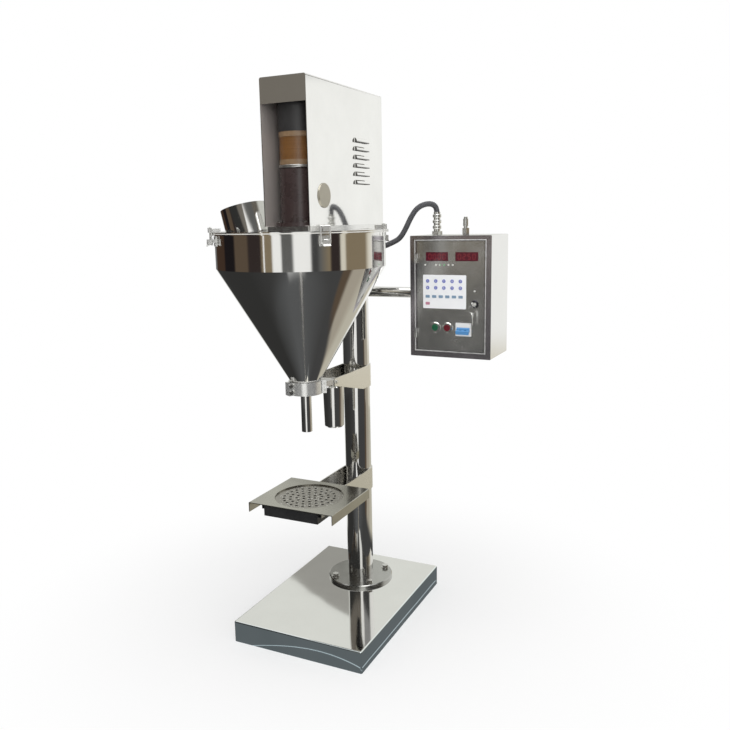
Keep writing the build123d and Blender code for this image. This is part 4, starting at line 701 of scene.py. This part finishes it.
def add_keys():
    rounds = bmesh.new()
    for z in KEY_ROWS:
        for x in key_xs(KEYS_IN_ROW, KEY_PITCH):
            round_key(rounds, x, z)
    add_piece("keypad_round_keys", rounds, blue_key, "door")
    wides = bmesh.new()
    for x in key_xs(WIDE_KEY_COUNT, WIDE_KEY_PITCH):
        wide_key(wides, x, WIDE_KEY_ROW)
    add_piece("keypad_wide_keys", wides, teal_key, "door")
    reset = bmesh.new()
    wide_key(reset, KEY_FIRST_X, RESET_KEY_ROW)
    add_piece("keypad_reset_key", reset, red_key, "door")


def numeral(text, at):
    """A printed numeral as a thin mesh, centred on its place."""
    curve = bpy.data.curves.new("numeral", "FONT")
    curve.body = text
    curve.size = NUMERAL_SIZE
    curve.align_x = "CENTER"
    curve.align_y = "CENTER"
    curve.extrude = NUMERAL_DEPTH
    curve.resolution_u = 4
    written = bpy.data.objects.new("numeral", curve)
    mesh = bpy.data.meshes.new_from_object(written)
    mesh.transform(at)
    bpy.data.objects.remove(written)
    return mesh


def add_key_numerals():
    shape = bmesh.new()
    for row, z in enumerate(KEY_ROWS):
        for column, x in enumerate(key_xs(KEYS_IN_ROW, KEY_PITCH)):
            text = str((row * KEYS_IN_ROW + column + 1) % 10)
            mesh = numeral(text, facing_front(x, KEY_FRONT - NUMERAL_PROUD, z))
            shape.from_mesh(mesh)
            bpy.data.meshes.remove(mesh)
    add_piece("key_numerals", shape, legend_white, "door")


def segment_bar(shape, x, z, length, upright):
    """One bar of a number display: a flat hexagon."""
    turn = Matrix.Rotation(pi / 2, 4, "Z") if upright else Matrix.Identity(4)
    flat = Matrix.Diagonal((length, SEGMENT_WIDTH, 1, 1))
    at = facing_front(x, DISPLAY_FRONT - SEGMENT_PROUD, z) @ turn @ flat
    bar = bmesh.ops.create_grid(shape, x_segments=2, y_segments=1, size=0.5, matrix=at)
    axis, middle = (2, z) if upright else (0, x)
    ends = sorted(bar["verts"], key=lambda vertex: vertex.co[axis])
    drawn_in = 1 - SEGMENT_TAPER * SEGMENT_WIDTH / length
    for vertex in (*ends[:2], *ends[-2:]):
        vertex.co[axis] = middle + (vertex.co[axis] - middle) * drawn_in


def seven_segments(shape, figure, x, z):
    half_w, half_h = DIGIT_WIDTH / 2, DIGIT_HEIGHT / 2
    places = {
        "a": (x, z + half_h, False), "g": (x, z, False), "d": (x, z - half_h, False),
        "f": (x - half_w, z + half_h / 2, True), "b": (x + half_w, z + half_h / 2, True),
        "e": (x - half_w, z - half_h / 2, True), "c": (x + half_w, z - half_h / 2, True),
    }
    for letter in SEGMENTS[figure]:
        bar_x, bar_z, upright = places[letter]
        length = half_h * 0.92 if upright else DIGIT_WIDTH * 0.86
        segment_bar(shape, bar_x, bar_z, length, upright)


def add_display_digits():
    shape = bmesh.new()
    for centre, figures in zip(DISPLAY_CENTRES, DISPLAY_FIGURES):
        first = centre - DIGIT_PITCH * (DIGIT_COUNT - 1) / 2
        for index, figure in enumerate(figures):
            seven_segments(shape, figure, first + index * DIGIT_PITCH, DISPLAY_Z)
    bmesh.ops.solidify(shape, geom=list(shape.faces), thickness=SEGMENT_DEPTH)
    add_piece("display_digits", shape, digit_light, "door")


def add_box_lip():
    """The rolled lip round the control box's opening: a low rounded bead."""
    shape = bmesh.new()
    wide = OPENING_X[1] - OPENING_X[0] + 2 * LIP_WIDTH
    tall = OPENING_Z[1] - OPENING_Z[0] + 2 * LIP_WIDTH
    at = facing_front(sum(OPENING_X) / 2, BOX_LOW.y + LIP_SUNK, sum(OPENING_Z) / 2)
    at = at @ Matrix.Diagonal((wide, tall, 1, 1))
    bmesh.ops.create_grid(shape, x_segments=1, y_segments=1, size=0.5, matrix=at)
    panel = list(shape.faces)
    bmesh.ops.inset_region(
        shape, faces=panel, thickness=LIP_WIDTH, use_boundary=True, use_even_offset=True)
    bmesh.ops.delete(shape, geom=panel, context="FACES")
    grown = bmesh.ops.extrude_face_region(shape, geom=list(shape.faces))["geom"]
    bmesh.ops.translate(shape, verts=new_verts(grown), vec=(0, -LIP_RISE - LIP_SUNK, 0))
    bmesh.ops.recalc_face_normals(shape, faces=shape.faces)
    edges = [edge for edge in shape.edges
             if all(vertex.co.y < BOX_LOW.y for vertex in edge.verts)
             and edge.calc_face_angle(0) > 1]
    bmesh.ops.bevel(shape, geom=edges, offset=LIP_RISE * 0.95, segments=4, profile=0.5,
                    affect="EDGES", material=-1)
    add_piece("box_lip", shape, lip_trim(), "frame", smooth=True)


def room_material():
    """Floor and walls that the steel mirrors: tones by direction, in bands by height."""
    finish = Finish("room")
    centred = finish.start.node("ShaderNodeVectorMath", {"operation": "SUBTRACT"},
                                {0: finish.place, 1: ROOM_CENTRE})
    x = finish.start.node("ShaderNodeSeparateXYZ", {}, {0: centred}, out="X")
    y = finish.start.node("ShaderNodeSeparateXYZ", {}, {0: centred}, out="Y")
    height = finish.axis("Z")
    turn = finish.start.maths("ARCTAN2", x, 0 - y) / (2 * pi) + 0.5
    away = (x * x + y * y) ** 0.5

    def round_about(*stops):
        return finish.ramp(turn, *[(degrees / 360 + 0.5, colour) for degrees, colour in stops])

    white, pale, cream = rgb(1.0, 1.0, 0.98), rgb(0.80, 0.81, 0.77), rgb(0.74, 0.70, 0.59)
    sand, tan, umber = rgb(0.42, 0.38, 0.31), rgb(0.25, 0.20, 0.13), rgb(0.11, 0.080, 0.055)
    brown, dark = rgb(0.055, 0.033, 0.022), rgb(0.036, 0.027, 0.025)
    black, coal, shade = rgb(0.013, 0.011, 0.012), rgb(0.036, 0.036, 0.035), grey(0.062)
    slate, lead, warm = rgb(0.13, 0.13, 0.125), rgb(0.105, 0.108, 0.110), rgb(0.185, 0.168, 0.145)
    ground = round_about(
        (-178, pale), (-134, pale), (-126, coal), (-60, coal), (4, shade), (8, white), (34, white),
        (38, shade), (98, shade), (102, umber), (112, umber), (118, sand), (134, sand),
        (150, rgb(0.56, 0.53, 0.44)))
    low = round_about(
        (-178, white), (-134, pale), (-126, coal), (-32, shade), (-24, slate), (-6, slate),
        (3, shade), (7, white), (35, white), (39, shade), (98, shade), (104, umber), (114, sand),
        (134, sand), (148, cream))
    high = round_about(
        (-172, pale), (-146, pale), (-138, grey(0.20)), (-120, grey(0.18)), (-116, brown),
        (-88, brown), (-85, black), (-65, black), (-62, umber), (-42, umber), (-39, dark),
        (-22, dark), (-19, tan), (-7, tan), (-5, white), (5, white), (7, slate), (19, slate),
        (22, white), (41, white), (44, shade), (50, shade), (54, slate), (66, tan), (69, dark),
        (80, dark), (82, cream), (87, cream), (90, tan), (121, tan), (128, cream), (144, white))
    middle = round_about(
        (-178, pale), (-122, pale), (-106, coal), (24, coal), (28, white), (46, white), (50, shade),
        (108, shade), (126, white))
    upper = round_about(
        (-178, pale), (-122, pale), (-106, warm), (24, warm), (28, white), (52, white),
        (56, grey(0.34)), (112, grey(0.34)), (126, white))
    lofty = round_about(
        (-172, pale), (-122, pale), (-106, warm), (24, warm), (40, slate), (155, slate),
        (160, white))
    beside = round_about(
        (-60, coal), (0, lead), (25.5, lead), (26.5, sand), (29.5, sand), (30.5, lead),
        (90, shade))
    floor = away.above(0.95, 0.10).mix(beside, ground)
    from_base = finish.start.maths(
        "MAXIMUM", finish.start.maths("ABSOLUTE", x) - BASE_HALF.x,
        finish.start.maths("ABSOLUTE", finish.axis("Y")) - BASE_HALF.y)
    streak = from_base + 1.1 * (x - 0.06) ** 2
    apron = streak.between(0.060, 0.064, 0.001).mix(
        rgb(0.145, 0.150, 0.152), rgb(0.62, 0.66, 0.68))
    floor = from_base.above(0.125, 0.01).mix(apron, floor)
    glare = turn.between(0.4505, 0.4555, 0.0012) * height.between(1.02, 1.52, 0.03)
    bright_side = height.above(0.55, 0.15) * turn.above(0.90, 0.02)
    wall = bright_side.mix(height.above(ROOM_LOW, 0.02).mix(floor, low), white)
    banded = glare.mix(height.above(ROOM_HIGH, 0.05).mix(wall, high), white)
    under_slope = 1 - (height + 16.2 * turn).above(3.07, 0.01)
    panel = turn.between(0.066, 0.0935, 0.0006) * under_slope
    over = height.above(ROOM_UPPER, 0.06).mix(middle, upper)
    whole = height.above(ROOM_MIDDLE, 0.10).mix(banded, over)
    whole = panel.mix(height.above(ROOM_LOFTY, 0.12).mix(whole, lofty), rgb(0.36, 0.355, 0.33))
    glow = finish.start.node("ShaderNodeEmission", {}, {"Color": whole, "Strength": 1.0})
    finish.start.node("ShaderNodeOutputMaterial", {}, {"Surface": glow})
    return finish.material


def stage_disc(radius, place):
    shape = bmesh.new()
    bmesh.ops.create_circle(shape, cap_ends=True, segments=96, radius=radius,
                            matrix=Matrix.Translation(place))
    return shape


def add_room():
    """A floor with walls, seen in mirrors and glass alone."""
    shape = stage_disc(ROOM_RADIUS, ROOM_CENTRE + Vector((0, 0, ROOM_LIFT)))
    grown = bmesh.ops.extrude_edge_only(shape, edges=list(shape.edges))["geom"]
    bmesh.ops.translate(shape, verts=new_verts(grown), vec=(0, 0, ROOM_HEIGHT))
    room = add_object("room", shape, room_material())
    room.visible_camera = False
    room.visible_diffuse = False
    room.visible_shadow = False
    room.visible_volume_scatter = False


def seen_ray(start):
    """1 for a ray from the camera, a mirror or glass, and 0 for one that carries light."""
    camera, mirror, glass = [
        start.node("ShaderNodeLightPath", out=name)
        for name in ("Is Camera Ray", "Is Glossy Ray", "Is Transmission Ray")]
    return start.maths("MAXIMUM", camera, start.maths("MAXIMUM", mirror, glass))


def floor_material():
    """Pale studio floor that keeps the shadow near the object and fades to white far off."""
    finish = Finish("studio_floor")
    away = finish.start.node(
        "ShaderNodeVectorMath", {"operation": "LENGTH"}, {0: finish.place}, out="Value")
    diffuse = finish.start.node("ShaderNodeBsdfDiffuse", {}, {"Color": grey(0.92)})
    white = finish.start.node("ShaderNodeEmission", {}, {"Color": grey(1.0), "Strength": 1.0})
    fade = away.above(0.85, 0.55).spread(0.5, 1.0) * seen_ray(finish.start)
    mixed = finish.start.node("ShaderNodeMixShader", {}, {0: fade, 1: diffuse, 2: white})
    finish.start.node("ShaderNodeOutputMaterial", {}, {"Surface": mixed})
    return finish.material


def add_floor():
    floor = add_object("floor", stage_disc(FLOOR_RADIUS, (0, 0, -FLOOR_DROP)), floor_material())


def add_world():
    world = bpy.data.worlds.new("studio")
    bpy.context.scene.world = world
    world.use_nodes = True
    world.node_tree.nodes.clear()
    start = Shade(world.node_tree)
    strength = seen_ray(start).spread(0.62, 1.0)
    sky = start.node("ShaderNodeBackground", {}, {"Color": grey(1.0), "Strength": strength})
    start.node("ShaderNodeOutputWorld", {}, {"Surface": sky})


def add_lamp(name, place, size, power):
    lamp = bpy.data.lights.new(name, "AREA")
    lamp.shape = "DISK"
    lamp.size = size
    lamp.energy = power
    holder = bpy.data.objects.new(name, lamp)
    bpy.context.scene.collection.objects.link(holder)
    holder.location = place
    holder.rotation_euler = (LAMP_TARGET - place).to_track_quat("-Z", "Y").to_euler()


def add_camera():
    lens = bpy.data.cameras.new("photo_camera")
    lens.sensor_width = CAMERA_SENSOR
    lens.lens = CAMERA_LENS
    ahead = Vector((
        -sin(CAMERA_AZIMUTH) * cos(CAMERA_PITCH), cos(CAMERA_AZIMUTH) * cos(CAMERA_PITCH),
        -sin(CAMERA_PITCH)))
    level = Vector((cos(CAMERA_AZIMUTH), sin(CAMERA_AZIMUTH), 0))
    upright = level.cross(ahead)
    right = level * cos(CAMERA_ROLL) + upright * sin(CAMERA_ROLL)
    up = upright * cos(CAMERA_ROLL) - level * sin(CAMERA_ROLL)
    turn = Matrix((right, up, -ahead)).transposed().to_4x4()
    camera = bpy.data.objects.new("photo_camera", lens)
    bpy.context.scene.collection.objects.link(camera)
    camera.matrix_world = Matrix.Translation(CAMERA_PLACE) @ turn
    bpy.context.scene.camera = camera


add_camera()
add_conduit()
add_box_lip()
add_keys()
add_key_numerals()
add_display_digits()
add_world()
add_floor()
add_room()
add_lamp("top_lamp", TOP_LAMP, size=3.2, power=60)
add_lamp("front_lamp", FRONT_LAMP, size=2.0, power=40)
bpy.context.scene.view_settings.view_transform = "Standard"
